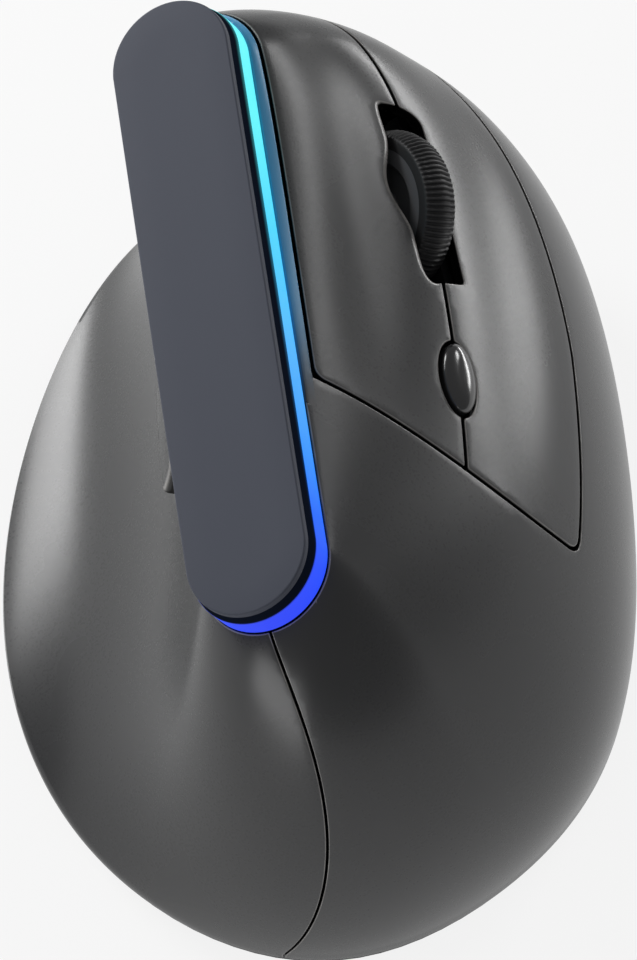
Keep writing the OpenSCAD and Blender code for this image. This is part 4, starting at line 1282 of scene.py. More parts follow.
FINISHES: dict[Slot, Finish] = {
    # Soft grey: the pale tint and full amount paint a highlight along the key and shell edges, with painted
    # shade in the joints.
    Slot.SOFT_GREY: Moulding(
        "soft_touch_grey", (0.027, 0.0275, 0.0285), (0.030, 0.0305, 0.0315), 0.28, 0.015, 3600.0, 0.006,
        glint=0.02, highlight_tint=(0.28, 0.27, 0.26), painted_edge_light=1.0, specular=0.42,
    ),
    Slot.SLATE_PANEL: Moulding(
        "slate_panel_matt", (0.063, 0.069, 0.09), (0.066, 0.072, 0.093), 0.5, 0.03, 3600.0, 0.004,
        highlight_tint=(0.2, 0.2, 0.22), painted_edge_light=0.4, specular=0.1,
    ),
    # The bezel's emission is painted LED light, brightest next to the light band.
    Slot.NAVY_BEZEL: LitBand(
        "navy_bezel_painted_led_light", strength=0.2, floor=0.0, rise=(0.0, 0.4),
        base=(0.006, 0.008, 0.013), rough=0.5, specular=0.0,
    ),
    Slot.LIGHT_BAND: LitBand("light_band_lit", specular=0.05),
    Slot.SLATE_TRIM: TrimWithPaintedLedLight("trim_painted_led_light"),
    Slot.BASE_BLACK: Moulding(
        "base_black_textured", (0.016, 0.016, 0.017), (0.02, 0.02, 0.021), 0.55, 0.05, 1500.0, 0.03,
    ),
    Slot.GLIDE_WHITE: Moulding(
        "glide_smooth", (0.72, 0.72, 0.71), (0.66, 0.66, 0.65), 0.35, 0.05, 900.0, 0.01,
        highlight_tint=(0.8, 0.8, 0.8),
    ),
    Slot.STEEL: Moulding(
        "steel_bright", (0.55, 0.55, 0.57), (0.48, 0.48, 0.5), 0.28, 0.06, 2500.0, 0.004, metallic=1.0,
    ),
    # Near-black: the frame's dark plastic, made dark enough to stand in for the shade seen through the wheel
    # slot and seams.
    Slot.FRAME_GREY: Moulding(
        "frame_moulded", (0.014, 0.014, 0.016), (0.018, 0.018, 0.02), 0.5, 0.05, 1800.0, 0.02,
    ),
    Slot.BOARD_GREEN: SolderMask("board_green_mask"),
    Slot.BOARD_WHITE: SolderMask("board_white_mask", (0.7, 0.7, 0.7), (0.62, 0.62, 0.6)),
    Slot.CLEAR_LENS: ClearMoulding("lens_clear"),
    Slot.CELL_WRAP: Moulding(
        "cell_wrapped", (0.42, 0.38, 0.17), (0.36, 0.33, 0.15), 0.25, 0.06, 700.0, 0.02,
    ),
    Slot.KNOB_ORANGE: Moulding(
        "knob_smooth", (0.75, 0.14, 0.025), (0.66, 0.12, 0.02), 0.35, 0.05, 2500.0, 0.008,
    ),
    Slot.PLUNGER_RED: Moulding(
        "plunger_smooth", (0.45, 0.03, 0.03), (0.38, 0.025, 0.025), 0.3, 0.05, 2500.0, 0.004,
    ),
    Slot.TYRE_RUBBER: Moulding(
        "tyre_ribbed_rubber", (0.02, 0.02, 0.021), (0.023, 0.023, 0.024), 0.5, 0.05, 4200.0, 0.008,
        specular=0.3,
    ),
    Slot.HUB_GREY: Moulding(
        "hub_satin", (0.1, 0.102, 0.108), (0.108, 0.11, 0.116), 0.42, 0.04, 4200.0, 0.005,
    ),
    Slot.GLOSS_BLACK: Moulding(
        "button_gloss_black", (0.014, 0.014, 0.015), (0.018, 0.018, 0.019), 0.17, 0.03, 2600.0, 0.001,
        specular=0.9,
    ),
}


class Palette:
    """Materials by slot, each built once."""

    def __init__(self) -> None:
        """Builds every finish."""
        effects = Effects()
        self.materials = {slot: finish.build(effects) for slot, finish in FINISHES.items()}

    def dress(self, obj: bpy.types.Object, slot: Slot) -> None:
        """Gives an object one finish."""
        obj.data.materials.clear()
        obj.data.materials.append(self.materials[slot])


# Sub-assemblies


class Workshop:
    """What every sub-assembly shares, and the last step that every piece goes through."""

    def __init__(self) -> None:
        """Makes the skin, the seams, the finishes and the trees."""
        self.skin = BodySkin()
        self.seams = Seams(self.skin)
        self.palette = Palette()
        self.stadium = stadium_tree()
        self.rim = rim_tree()
        self.screws = screw_tree()

    def fit(self, obj: bpy.types.Object, body: str, slot: Slot, *nodes: str) -> bpy.types.Object:
        """Dresses a piece, puts it on its body and hides the nodes it stands for.

        Args:
            obj: The piece.
            body: Body that it rides on.
            slot: Slot whose finish it takes.
            nodes: Nodes that it stands for.

        Returns:
            The piece.
        """
        self.palette.dress(obj, slot)
        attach(obj, body)
        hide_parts(*nodes)
        LOG.info("%s on %s, %d faces", obj.name, body, len(obj.data.polygons))
        return obj


Curve = Callable[[Array], Array] | float
# Points along a shell's long edge, along a key's and along a short one
LONG_EDGE, KEY_EDGE, SHORT_EDGE = 240, 160, 20


def at_height(u0: float | Array, u1: float | Array, v: Curve, count: int = 80) -> Array:
    """Rows of u and v from u0 to u1 along a height."""
    u = np.linspace(float(u0), float(u1), count)
    return np.stack([u, v(u) if callable(v) else np.full(count, v)], -1)


def at_turn(v0: float | Array, v1: float | Array, u: Curve, count: int = 60) -> Array:
    """Rows of u and v from v0 to v1 along a direction."""
    v = np.linspace(float(v0), float(v1), count)
    return np.stack([u(v) if callable(u) else np.full(count, u), v], -1)


@dataclass
class Housing:
    """Palm shell, thumb shell and the strip along the crest."""

    shop: Workshop
    wall: float = 2.0
    foot: float = -0.02
    bevel: float = 0.18
    crest_bevel: float = 0.3
    flush: float = 0.03
    corner: float = 0.2
    tight: float = 0.05
    soft: float = 0.3
    key_corners: tuple[float, float, float] = (0.15, 2.5, 1.0)
    heel: float = 180.0
    trim_tail: float = 6.0
    trim_edge: tuple[float, float] = (0.02, 0.12)
    port: tuple[float, float, float] = (4.0, 59.0, 8.83)
    port_size: tuple[float, float] = (10.0, 4.2)
    port_uv: tuple[float, float] = (4.0, 0.14)
    hole_roll: float = 0.35
    thumb_corner: float = 2.0
    thumb_roll: float = 0.9
    thumb_out: float = 2.0
    thumb_t: float = 3.2

    def gap(self, share: float, u: float, v: Array) -> Array:
        """Degrees that make a share of the seam's width."""
        return self.shop.skin.per_u(self.shop.seams.seam * share, u, np.clip(v, 0, 1))

    def palm_rear(self, v: Array) -> Array:
        """Rear edge of the palm shell."""
        return self.shop.seams.rear(v) - self.gap(0.5, self.heel, v)

    def thumb_rear(self, v: Array) -> Array:
        """Rear edge of the thumb shell."""
        return self.shop.seams.rear(v) + self.gap(0.5, self.heel, v)

    def thumb_front(self, v: Array) -> Array:
        """Front edge of the thumb shell."""
        front = 360 + self.shop.seams.front
        return front - self.gap(1.0, front, v)

    def trim_end(self, v: Array) -> Array:
        """Rear end of the strip along the crest."""
        return self.shop.seams.key_end(v) + self.trim_tail

    def palm_outline(self) -> Outline:
        """Outline of the palm shell round the key opening."""
        s, high = self.shop.seams, self.shop.seams.key_high
        top_corner, low_corner, front_corner = self.key_corners
        line = Outline(self.shop.skin)
        line.edge(at_height(s.front, self.palm_rear(0.0), self.foot, LONG_EDGE), self.soft, self.bevel)
        line.edge(at_turn(self.foot, 1.0, self.palm_rear), self.corner, self.bevel)
        line.edge(at_height(self.palm_rear(1.0), self.trim_end(1.0), 1.0), self.corner, self.crest_bevel)
        line.edge(at_turn(1.0, high, self.trim_end), self.tight, self.flush)
        line.edge(at_height(self.trim_end(high), s.key_end(high), high), self.tight, self.flush)
        line.edge(at_turn(high, s.key_low, s.key_end), top_corner, self.bevel)
        line.edge(at_height(s.key_end(s.key_low), s.key_front, s.low, KEY_EDGE), low_corner, self.bevel)
        line.edge(at_turn(s.low(s.key_front), high, s.front_line), front_corner, self.bevel)
        line.edge(at_height(s.front_line(high), s.trim_start(high), high), self.soft, self.flush)
        line.edge(at_turn(high, 1.0, s.trim_start), self.tight, self.flush)
        line.edge(at_height(s.trim_start(1.0), s.front, 1.0), self.tight, self.crest_bevel)
        return line.edge(at_turn(1.0, self.foot, s.front), self.corner, self.bevel)

    def port_outline(self) -> Outline:
        """Outline of the hole for the charging port."""
        seat = Seat(np.array(self.port), np.array([-1.0, 0, 0]), np.array([0, 0, 1.0]), np.array([0, 1.0, 0]))
        long, tall = self.port_size
        a = np.linspace(0, 360, 73)
        apart = (long - tall) / 2 * np.sign(np.round(cos_d(a), 9))
        plan = np.stack([tall / 2 * cos_d(a) + apart, tall / 2 * sin_d(a)], -1)
        line = self.shop.skin.locate(seat, plan, self.port_uv)
        return Outline(self.shop.skin).edge(line, self.tight, self.hole_roll)

    def thumb_outline(self) -> Outline:
        """Outline of the thumb shell."""
        front, rear = self.thumb_front, self.thumb_rear
        line = Outline(self.shop.skin)
        line.edge(at_height(rear(0.0), front(0.0), self.foot, LONG_EDGE), self.corner, self.bevel)
        line.edge(at_turn(self.foot, 1.0, front), self.corner, self.bevel)
        line.edge(at_height(front(1.0), rear(1.0), 1.0, LONG_EDGE), self.corner, self.crest_bevel)
        return line.edge(at_turn(1.0, self.foot, rear), self.corner, self.bevel)

    def thumb_hole(self, us: tuple[float, float], gap: float, corner: float, roll: float) -> Outline:
        """Outline of a thumb button's opening, or of the button where a gap is taken off.

        Args:
            us: First and last direction of the opening.
            gap: Distance inside the opening's edge.
            corner: Radius of the corners.
            roll: Radius of the rolled edge.

        Returns:
            The outline.
        """
        s, skin = self.shop.seams, self.shop.skin
        mid = sum(s.thumb_v) / 2
        a = us[0] + float(skin.per_u(gap, us[0], mid))
        b = us[1] - float(skin.per_u(gap, us[1], mid))
        low = lambda u: s.thumb_low(u) + skin.per_v(gap, u, s.thumb_v[0])
        high = lambda u: s.thumb_high(u) - skin.per_v(gap, u, s.thumb_v[1])
        line = Outline(skin)
        line.edge(at_height(a, b, low), corner, roll)
        line.edge(at_turn(low(b), high(b), b), corner, roll)
        line.edge(at_height(b, a, high), corner, roll)
        return line.edge(at_turn(high(a), low(a), a), corner, roll)

    def trim_outline(self) -> Outline:
        """Outline of the strip along the crest."""
        s, high = self.shop.seams, self.shop.seams.key_high
        line = Outline(self.shop.skin)
        corner = s.key_end(high)
        line.edge(at_height(s.trim_start(high), corner, high, KEY_EDGE), *self.trim_edge)
        line.edge(at_height(corner, self.trim_end(high), high, SHORT_EDGE), self.tight, self.flush)
        line.edge(at_turn(high, 1.0, self.trim_end), self.tight, self.flush)
        top = at_height(self.trim_end(1.0), s.trim_start(1.0), 1.0, KEY_EDGE)
        line.edge(top, self.tight, self.crest_bevel)
        return line.edge(at_turn(1.0, high, s.trim_start), self.tight, self.flush)

    def build(self) -> None:
        """Makes the shells, the strip and the thumb buttons."""
        shop, s = self.shop, self.shop.seams
        palm = MouldedSkin(shop.skin, self.palm_outline(), [self.port_outline()], self.wall)
        shop.fit(palm.build("palm_shell_moulded"), "body", Slot.SOFT_GREY, "palm_shell")
        holes = [self.thumb_hole(us, 0.0, self.thumb_corner, self.hole_roll) for us in (s.back_u, s.fore_u)]
        thumb = MouldedSkin(shop.skin, self.thumb_outline(), holes, self.wall)
        shop.fit(thumb.build("thumb_shell_moulded"), "body", Slot.SOFT_GREY, "thumb_shell")
        trim = MouldedSkin(shop.skin, self.trim_outline(), [], self.wall, pitch=0.5)
        shop.fit(trim.build("crest_trim_moulded"), "body", Slot.SLATE_TRIM, "crest_trim")
        for name, us in (("back_button", s.back_u), ("forward_button", s.fore_u)):
            line = self.thumb_hole(us, s.thumb_gap, self.thumb_corner - s.thumb_gap, self.thumb_roll)
            button = MouldedSkin(shop.skin, line, [], self.thumb_t, self.thumb_out, pitch=0.6)
            shop.fit(button.build(name + "_cap"), name, Slot.SOFT_GREY, name)


@dataclass
class FingerKeys:
    """The two main keys with the wheel slot and the oval button between them."""

    shop: Workshop
    thick: float = 1.8
    draft: float = 0.5
    slot_rear: float = -13.8
    slot_front: float = 12.9
    slot_side: float = 3.1
    slot_round: float = 2.0
    slot_slant: float = 3.4
    slot_notch: float = 1.9
    oval: tuple[float, float] = (3.1, 5.5)
    scoop: float = 1.2
    edge_roll: float = 0.24
    seam_roll: float = 0.2
    notch_span: tuple[float, float] = (0.2, 0.6)
    slot_corner: float = 0.8
    nose_corners: tuple[float, float] = (0.5, 0.2)
    oval_edge_size: tuple[float, float] = (0.35, 0.3)
    far_corner: float = 0.8
    rear_corners: tuple[float, float] = (1.6, 2.1)
    seam_corners: tuple[float, float, float] = (0.3, 0.35, 0.4)
    front_corner: float = 0.5
    front_v: float = 0.72
    rear_v: float = 0.66
    rear_u: float = 106.0
    seam_u: tuple[float, float] = (30.0, 106.0)
    seam_steps: int = 800
    pitch: float = 0.7

    def split(self, side: float) -> Callable[[Array], Array]:
        """Height of a key's edge along the seam; side is 1 for the left key and -1 for the right one."""
        s, skin = self.shop.seams, self.shop.skin
        return lambda u: s.middle(u) + side * skin.per_v(s.key_gap / 2, u, s.middle(u))

    def far(self, side: float) -> Callable[[Array], Array]:
        """Height of a key's edge away from the seam; side is 1 for the left key and -1 for the right one."""
        s, skin = self.shop.seams, self.shop.skin
        if side < 0:
            return lambda u: s.low(u) + skin.per_v(s.low_gap(u), u, s.low(u))
        return lambda u: s.key_high - skin.per_v(s.key_gap, u, np.full_like(np.asarray(u, float), s.key_high))

    def front(self, v: Array) -> Array:
        """Front edge of the keys."""
        s = self.shop.seams
        a = s.front_line(v)
        return a + self.shop.skin.per_u(s.key_front_gap, a, v)

    def rear(self, v: Array) -> Array:
        """Rear edge of the keys."""
        s = self.shop.seams
        return s.key_end(v) - self.shop.skin.per_u(s.key_gap, self.rear_u, v)

    def nose(self, x: Array) -> Array:
        """Front end of the wheel slot at a distance across it: a long round corner on the right."""
        share = np.clip((np.asarray(x, float) + self.slot_side) / (2 * self.slot_side), 0, 1)
        return self.slot_front - self.slot_slant * (1 - np.sqrt(1 - share**2))

    def meet(self, seat: Seat, forward: Curve, side: float) -> tuple[float, Array]:
        """Place on the seam at a distance forward in a working frame.

        Args:
            seat: The working frame.
            forward: Distance forward of its origin in millimetres, or that distance for a place across.
            side: 1 for the left key and -1 for the right one.

        Returns:
            The direction u, and the place as across and forward.
        """
        u = np.linspace(*self.seam_u, self.seam_steps)
        p = seat.local(self.shop.skin.body(u, self.split(side)(u)))
        goal = forward(p[:, 0]) if callable(forward) else forward
        at = float(np.interp(0.0, goal - p[:, 1], u))
        return at, np.array([np.interp(at, u, p[:, 0]), np.interp(at, u, p[:, 1])])

    def slot_edges(self, line: Outline, side: float) -> None:
        """Adds the wheel slot's edges, from its rear end to its front end."""
        s, left = self.shop.seams, side > 0
        seat = s.wheel_seat()
        t = np.linspace(0, 1, 80)
        along = lerp(self.slot_rear, self.slot_front if left else self.slot_front - self.slot_slant, t)
        heel = self.slot_rear + self.slot_round
        start, run = self.notch_span
        share = np.clip(((along - heel) / (self.slot_front - heel) - start) / run, 0, 1)
        notch = self.slot_notch * (1 - cos_d(360 * share)) / 2 if left else 0 * t
        flank = np.stack([-side * (self.slot_side + notch), along], -1)
        first = self.meet(seat, self.slot_rear, side)[1]
        last = self.meet(seat, self.nose, side)[1]
        place = lambda plan: self.shop.skin.locate(seat, np.asarray(plan), s.seam_point(s.wheel_u))
        turn = sin_d(90 * np.linspace(0, 1, 40)) ** (1 if left else 2)
        x = flank[-1, 0] + (last[0] - flank[-1, 0]) * turn
        corner, roll = (self.slot_round, self.scoop) if left else (self.slot_corner, self.edge_roll)
        line.edge(place(np.linspace(first, flank[0], 12)), self.seam_corners[0], self.seam_roll)
        line.edge(place(flank), corner, roll)
        line.edge(place(np.stack([x, self.nose(x)], -1)), self.nose_corners[0 if left else 1], self.seam_roll)

    def oval_edge(self, line: Outline, side: float) -> None:
        """Adds the edge round the oval button, from its rear end to its front end."""
        s = self.shop.seams
        half = math.degrees(math.asin(s.key_gap / 2 / self.oval[0]))
        a = np.linspace(180 - half, half, 60) * -side
        plan = np.stack([self.oval[0] * sin_d(a), self.oval[1] * cos_d(a)], -1)
        line.edge(self.shop.skin.locate(s.dpi_seat(), plan, s.seam_point(s.dpi_u)), *self.oval_edge_size)

    def outline(self, side: float) -> Outline:
        """Outline of a key.

        Args:
            side: 1 for the left key and -1 for the right one.

        Returns:
            The outline.
        """
        s, skin = self.shop.seams, self.shop.skin
        split, far = self.split(side), self.far(side)
        v_front, v_rear = (float(split(u)) for u in (self.front(self.front_v), self.rear(self.rear_v)))
        w_front = float(far(self.front(far(s.key_front))))
        w_rear = float(far(self.rear(far(s.key_rear))))
        wheel, oval = s.wheel_seat(), s.dpi_seat()
        reach = self.oval[1] * math.sqrt(1 - (s.key_gap / 2 / self.oval[0]) ** 2)
        oval_rear, oval_front = (self.meet(oval, way, side)[0] for way in (-reach, reach))
        slot_rear, slot_front = (self.meet(wheel, way, side)[0] for way in (self.slot_rear, self.nose))
        behind, between, ahead = self.seam_corners
        rear_corner = self.rear_corners[0 if side > 0 else 1]
        line = Outline(skin)
        outer = at_height(self.front(w_front), self.rear(w_rear), far, KEY_EDGE)
        line.edge(outer, self.far_corner, self.edge_roll)
        line.edge(at_turn(w_rear, v_rear, self.rear), rear_corner, self.edge_roll)
        line.edge(at_height(self.rear(v_rear), oval_rear, split, SHORT_EDGE), behind, self.seam_roll)
        self.oval_edge(line, side)
        line.edge(at_height(oval_front, slot_rear, split, SHORT_EDGE), between, self.seam_roll)
        self.slot_edges(line, side)
        line.edge(at_height(slot_front, self.front(v_front), split, 2 * SHORT_EDGE), ahead, self.seam_roll)
        return line.edge(at_turn(v_front, w_front, self.front), self.front_corner, self.edge_roll)

    def build(self) -> None:
        """Makes both keys."""
        for name, side in (("left_key", 1.0), ("right_key", -1.0)):
            key = MouldedSkin(self.shop.skin, self.outline(side), [], self.thick, 0.0, self.draft, self.pitch)
            self.shop.fit(key.build(name + "_skin"), name, Slot.SOFT_GREY, name)


Section = list[tuple[float, float]]


def arc(x: float, y: float, r: float, a0: float, a1: float, steps: int = 6) -> Section:
    """Points of an arc about (x, y), from a0 to a1 degrees."""
    return [(x + r * float(cos_d(a)), y + r * float(sin_d(a))) for a in np.linspace(a0, a1, steps + 1)]


@dataclass
class Crest:
    """Top panel, dark bezel and light band, each a section swept round the crest's stadium line."""

    shop: Workshop
    panel_t: float = 1.0
    bezel_h: float = 1.8
    light_h: float = 2.9
    panel_in: float = 0.4
    panel_round: float = 0.28
    bezel_in: tuple[float, float] = (0.5, 0.03)
    band_w: float = 2.6
    heel: tuple[float, float, float] = (0.5, 30.0, 10.0)
    edge: float = 0.1
    step: float = 0.04
    rows: int = 9
    steps: int = 128

    def sweep(self, name: str, section: Section, slot: Slot, node: str, closed: bool = False) -> None:
        """Sweeps a section and fits the result.

        Args:
            name: Name of the piece.
            section: Distance out from the crest's edge and depth below its top, in millimetres.
            slot: Slot of its finish.
            node: Node that it stands for.
            closed: Whether the section is a closed ring.
        """
        skin = self.shop.skin
        seed = line_mesh(name + "_section", section, closed)
        sizes = {"Half Length": skin.crest_half * MM, "Radius": skin.crest_r * MM, "Steps": self.steps}
        obj = self.shop.stadium.mesh(name, seed, sizes, self.shop.palette.materials[slot])
        finish_mesh(obj, Matrix.Identity(4))
        self.mark(obj)
        obj.data.transform(skin.crest_matrix())
        self.shop.fit(obj, "body", slot, node)

    def lift_heel(self, p: Array) -> None:
        """Raises the line between bezel and light band round the heel."""
        rise, start, run = self.heel
        low, foot = self.panel_t + self.bezel_h, self.panel_t + self.bezel_h + self.light_h
        share = np.clip((-start - p[:, 1]) / run, 0, 1)
        depth = -p[:, 2]
        tent = np.where(depth < low, (depth - self.panel_t) / self.bezel_h, (foot - depth) / self.light_h)
        p[:, 2] += rise * share**2 * (3 - 2 * share) * np.clip(tent, 0, 1)

    def mark(self, obj: bpy.types.Object) -> None:
        """Stores how far along the crest and how high in its own band each point lies."""
        co = np.empty(len(obj.data.vertices) * 3, np.float32)
        obj.data.vertices.foreach_get("co", co)
        p = co.reshape(-1, 3) / MM
        self.lift_heel(p)
        obj.data.vertices.foreach_set("co", (p * MM).astype(np.float32).ravel())
        reach = self.shop.skin.crest_half + self.shop.skin.crest_r
        low, high = p[:, 2].min(), p[:, 2].max()
        marks = {"along": (p[:, 1] + reach) / (2 * reach), "rise": (p[:, 2] - low) / (high - low)}
        for key, value in marks.items():
            obj.data.attributes.new(key, "FLOAT", "POINT").data.foreach_set("value", value.astype(np.float32))
        LOG.info("%s spans %s to %s", obj.name, p.min(0).round(2).tolist(), p.max(0).round(2).tolist())

    def build(self) -> None:
        """Makes the three pieces."""
        core, q, side, edge = -self.shop.skin.crest_r / 2, self.panel_round, -self.panel_in, self.edge
        top, low = self.panel_t, self.panel_t + self.bezel_h
        foot = low + self.light_h
        under = [(side, top - edge), (side - edge, top), (core, top)]
        panel = [(core, 0.0), *arc(side - q, q, q, -90, 0, 8), *under]
        self.sweep("crest_panel_moulded", panel, Slot.SLATE_PANEL, "crest_panel")
        t = np.linspace(0, 1, self.rows)
        wall = [(-float(lerp(*self.bezel_in, k)), float(lerp(top, low, k))) for k in t]
        bezel = [(core, top), *wall, (core, low)]
        self.sweep("crest_bezel_moulded", bezel, Slot.NAVY_BEZEL, "crest_bezel")
        band = [(0.0, float(lerp(low + self.step, foot - edge, k))) for k in t]
        ring = [(-self.band_w, low), (-self.step, low), *band, (-edge, foot), (-self.band_w, foot)]
        self.sweep("light_guide_lit", ring, Slot.LIGHT_BAND, "light_guide", True)


@dataclass
class ScrollWheel:
    """Ribbed tyre on a recessed hub."""

    shop: Workshop
    radius: float = 11.2
    width: float = 5.0
    hub_r: float = 8.6
    axle_r: float = 1.21
    axle_n: float = -7.2
    ribs: int = 88
    rib_depth: float = 0.42
    shoulder: float = 1.0
    crown: float = 0.45
    recess: tuple[float, float, float] = (3.0, 6.4, 1.3)
    boss: tuple[float, float] = (0.3, 0.6)
    rim: tuple[float, float] = (0.35, 0.05)
    rib_steps: int = 8
    hub_steps: int = 96
    sharp: float = 35.0

    def place(self) -> Matrix:
        """Placement of the wheel's own axis."""
        down = Matrix.Translation((0, 0, self.axle_n * MM))
        return self.shop.seams.wheel_seat().matrix() @ down @ Matrix.Rotation(math.radians(90), 4, "Y")

    def turn(self, name: str, section: Section, sizes: dict, slot: Slot, node: str) -> None:
        """Turns a closed section round the wheel's axis and fits the result.

        Args:
            name: Name of the piece.
            section: Distance from the axis and place along it, in millimetres.
            sizes: Inputs of the tree.
            slot: Slot of its finish.
            node: Node that it stands for.
        """
        r = sizes["Radius"] / MM
        seed = line_mesh(name + "_section", [(x - r, y) for x, y in section], True)
        obj = self.shop.rim.mesh(name, seed, sizes, self.shop.palette.materials[slot])
        ends = [[round(c / MM, 2) for c in obj.bound_box[k]] for k in (0, 6)]
        LOG.info("%s spans %s", name, ends)
        finish_mesh(obj, self.place(), sharp=self.sharp)
        self.shop.fit(obj, "wheel", slot, node)

    def build(self) -> None:
        """Makes the tyre and the hub."""
        r, h, s, c = self.radius, self.width / 2, self.shoulder, self.crown
        top = [(r - c * (y / (h - s)) ** 2, y) for y in np.linspace(-(h - s), h - s, 9)]
        right = arc(r - c - s, h - s, s, 0, 90, 7)[1:]
        left = [(x, -y) for x, y in right[::-1]]
        tyre = [(self.hub_r, -h), *left, *top, *right, (self.hub_r, h)]
        sizes = {"Radius": r * MM, "Crown": h * MM, "Steps": self.ribs * self.rib_steps}
        ribs = {"Ribs": float(self.ribs), "Rib Depth": self.rib_depth * MM}
        self.turn("wheel_tyre_ribbed", tyre, {**sizes, **ribs}, Slot.TYRE_RUBBER, "wheel_tyre")
        a, b, d = self.recess
        ease, drop = self.boss
        slope, low = self.rim
        boss = [(self.axle_r, h - ease), (a - ease, h - ease), (a, h - drop), (a, d)]
        rim = [(b, d), (b, h - slope), (b + slope, h - low), (self.hub_r, h - low)]
        half = boss + rim
        hub = [(x, -y) for x, y in half] + half[::-1]
        sizes = {"Radius": self.hub_r * MM, "Crown": h * MM, "Steps": self.hub_steps}
        plain = {"Ribs": 1.0, "Rib Depth": 0.0}
        self.turn("wheel_hub_turned", hub, {**sizes, **plain}, Slot.HUB_GREY, "wheel_hub")


@dataclass
class OvalButton:
    """Oval button behind the wheel: a domed cap on a flange."""

    shop: Workshop
    size: tuple[float, float] = (5.2, 10.0)
    flange: tuple[float, float] = (7.0, 12.0)
    rise: float = 1.5
    wall_top: float = 0.0
    flange_z: tuple[float, float] = (-4.0, -3.1)
    dome: tuple[float, ...] = (0.985, 0.96, 0.92, 0.86, 0.78, 0.66, 0.52, 0.36, 0.18)
    power: float = 2.3
    swell: float = 0.55
    around: int = 72

    def build(self) -> None:
        """Lofts the cap through a stack of ovals."""
        w, l = self.size
        fw, fl = self.flange
        foot, seat = self.flange_z
        levels = [(0.0, 0.0, foot), (fw, fl, foot), (fw, fl, seat), (w, l, seat), (w, l, self.wall_top)]
        for t in self.dome:
            z = self.wall_top + (self.rise - self.wall_top) * (1 - t**self.power) ** self.swell
            levels.append((w * t, l * t**self.swell, z))
        levels.append((0.0, 0.0, self.rise))
        n = self.around
        a = np.arange(n) * 360 / n
        rings = [np.stack([x / 2 * sin_d(a), y / 2 * cos_d(a), np.full(n, z)], -1) for x, y, z in levels]
        turns = [(k, (k + 1) % n) for k in range(n)]
        faces = []
        for i in range(0, (len(levels) - 1) * n, n):
            faces += [[i + k, i + n + k, i + n + m, i + m] for k, m in turns]
        obj = mesh_piece("dpi_button_cap", np.concatenate(rings), faces)
        finish_mesh(obj, self.shop.seams.dpi_seat().matrix())
        self.shop.fit(obj, "dpi_button", Slot.GLOSS_BLACK, "dpi_button")


def node_points(node: str) -> Array:
    """Points of a node in millimetres."""
    mesh = frame["nodes"][node].data
    co = np.empty(len(mesh.vertices) * 3, np.float32)
    mesh.vertices.foreach_get("co", co)
    return co.reshape(-1, 3).astype(float) / MM


def plan_centres(node: str, reach: float) -> list[tuple[float, float]]:
    """Centres, seen from above, of the separate solids of a node."""
    p = node_points(node)[:, :2]
    centres = []
    while len(p):
        near = np.linalg.norm(p - p[0], axis=1) < reach
        for _ in range(3):
            middle = (p[near].min(0) + p[near].max(0)) / 2
            near = np.linalg.norm(p - middle, axis=1) < reach
        centres.append((float(middle[0]), float(middle[1])))
        p = p[~near]
    return centres


# Metres under which points of a node are one, and bends in degrees that are flat, eased and drawn sharp
NODE_MERGE, FLAT_BEND, EASED_BEND, SHARP_BEND = 2e-6, 1.0, 38.0, 35.0


def eased_copy(name: str, node: str, width: float, segments: int = 2) -> bpy.types.Object:
    """Copy of a node with its loose triangles merged and its edges eased.

    Args:
        name: Name of the copy.
        node: Node to copy.
        width: Width of the eased edge in millimetres.
        segments: Faces across the eased edge.

    Returns:
        The copy.
    """
    mesh = frame["nodes"][node].data.copy()
    mesh.name = name
    obj = link(name, mesh)
    work = bmesh.new()
    work.from_mesh(mesh)
    bmesh.ops.remove_doubles(work, verts=work.verts, dist=NODE_MERGE)
    flat, bent = math.radians(FLAT_BEND), math.radians(EASED_BEND)
    bmesh.ops.dissolve_limit(work, angle_limit=flat, verts=work.verts, edges=work.edges)
    sharp = [e for e in work.edges if len(e.link_faces) == 2 and e.calc_face_angle(0.0) > bent]
    shape = {"segments": segments, "profile": 0.5, "affect": "EDGES", "clamp_overlap": True}
    bmesh.ops.bevel(work, geom=sharp, offset=width * MM, **shape)
    bmesh.ops.triangulate(work, faces=[f for f in work.faces if len(f.verts) > 4])
    work.to_mesh(mesh)
    work.free()
    mesh.shade_smooth()
    mesh.set_sharp_from_angle(angle=math.radians(SHARP_BEND))
    return obj


@dataclass
class Underside:
    """Base plate, glides, case screws, sliding switch knob and the charging port."""

    shop: Workshop
    head: tuple[float, float] = (2.0, 0.9)
    shank: tuple[float, float] = (1.0, 8.8)
    cross: tuple[float, float] = (2.4, 0.5)
    head_z: float = 1.15
    screw_reach: float = 3.0
    plate_ease: float = 0.3
    glide_ease: float = 0.3
    knob_ease: float = 0.22
    port_ease: float = 0.1

    def build(self) -> None:
        """Makes the pieces."""
        shop = self.shop
        plate = eased_copy("base_plate_eased", "base_plate", self.plate_ease)
        shop.fit(plate, "body", Slot.BASE_BLACK, "base_plate")
        glides = eased_copy("glide_feet_eased", "glide_feet", self.glide_ease, 3)
        shop.fit(glides, "body", Slot.GLIDE_WHITE, "glide_feet")
        knob = eased_copy("power_knob_eased", "power_knob", self.knob_ease)
        shop.fit(knob, "power_knob", Slot.KNOB_ORANGE, "power_knob")
        port = eased_copy("charge_port_eased", "charge_port", self.port_ease)
        shop.fit(port, "body", Slot.STEEL, "charge_port")
        places = [(x, y, self.head_z) for x, y in plan_centres("case_screws", self.screw_reach)]
        seed = point_mesh("case_screw_places", places)
        sizes = {key: mm * MM for key, mm in zip(SCREW_SIZES, (*self.head, *self.shank, *self.cross))}
        screws = shop.screws.mesh("case_screws_set", seed, sizes, shop.palette.materials[Slot.STEEL])
        finish_mesh(screws, Matrix.Identity(4), 1e-7, 30.0)
        shop.fit(screws, "body", Slot.STEEL, "case_screws")


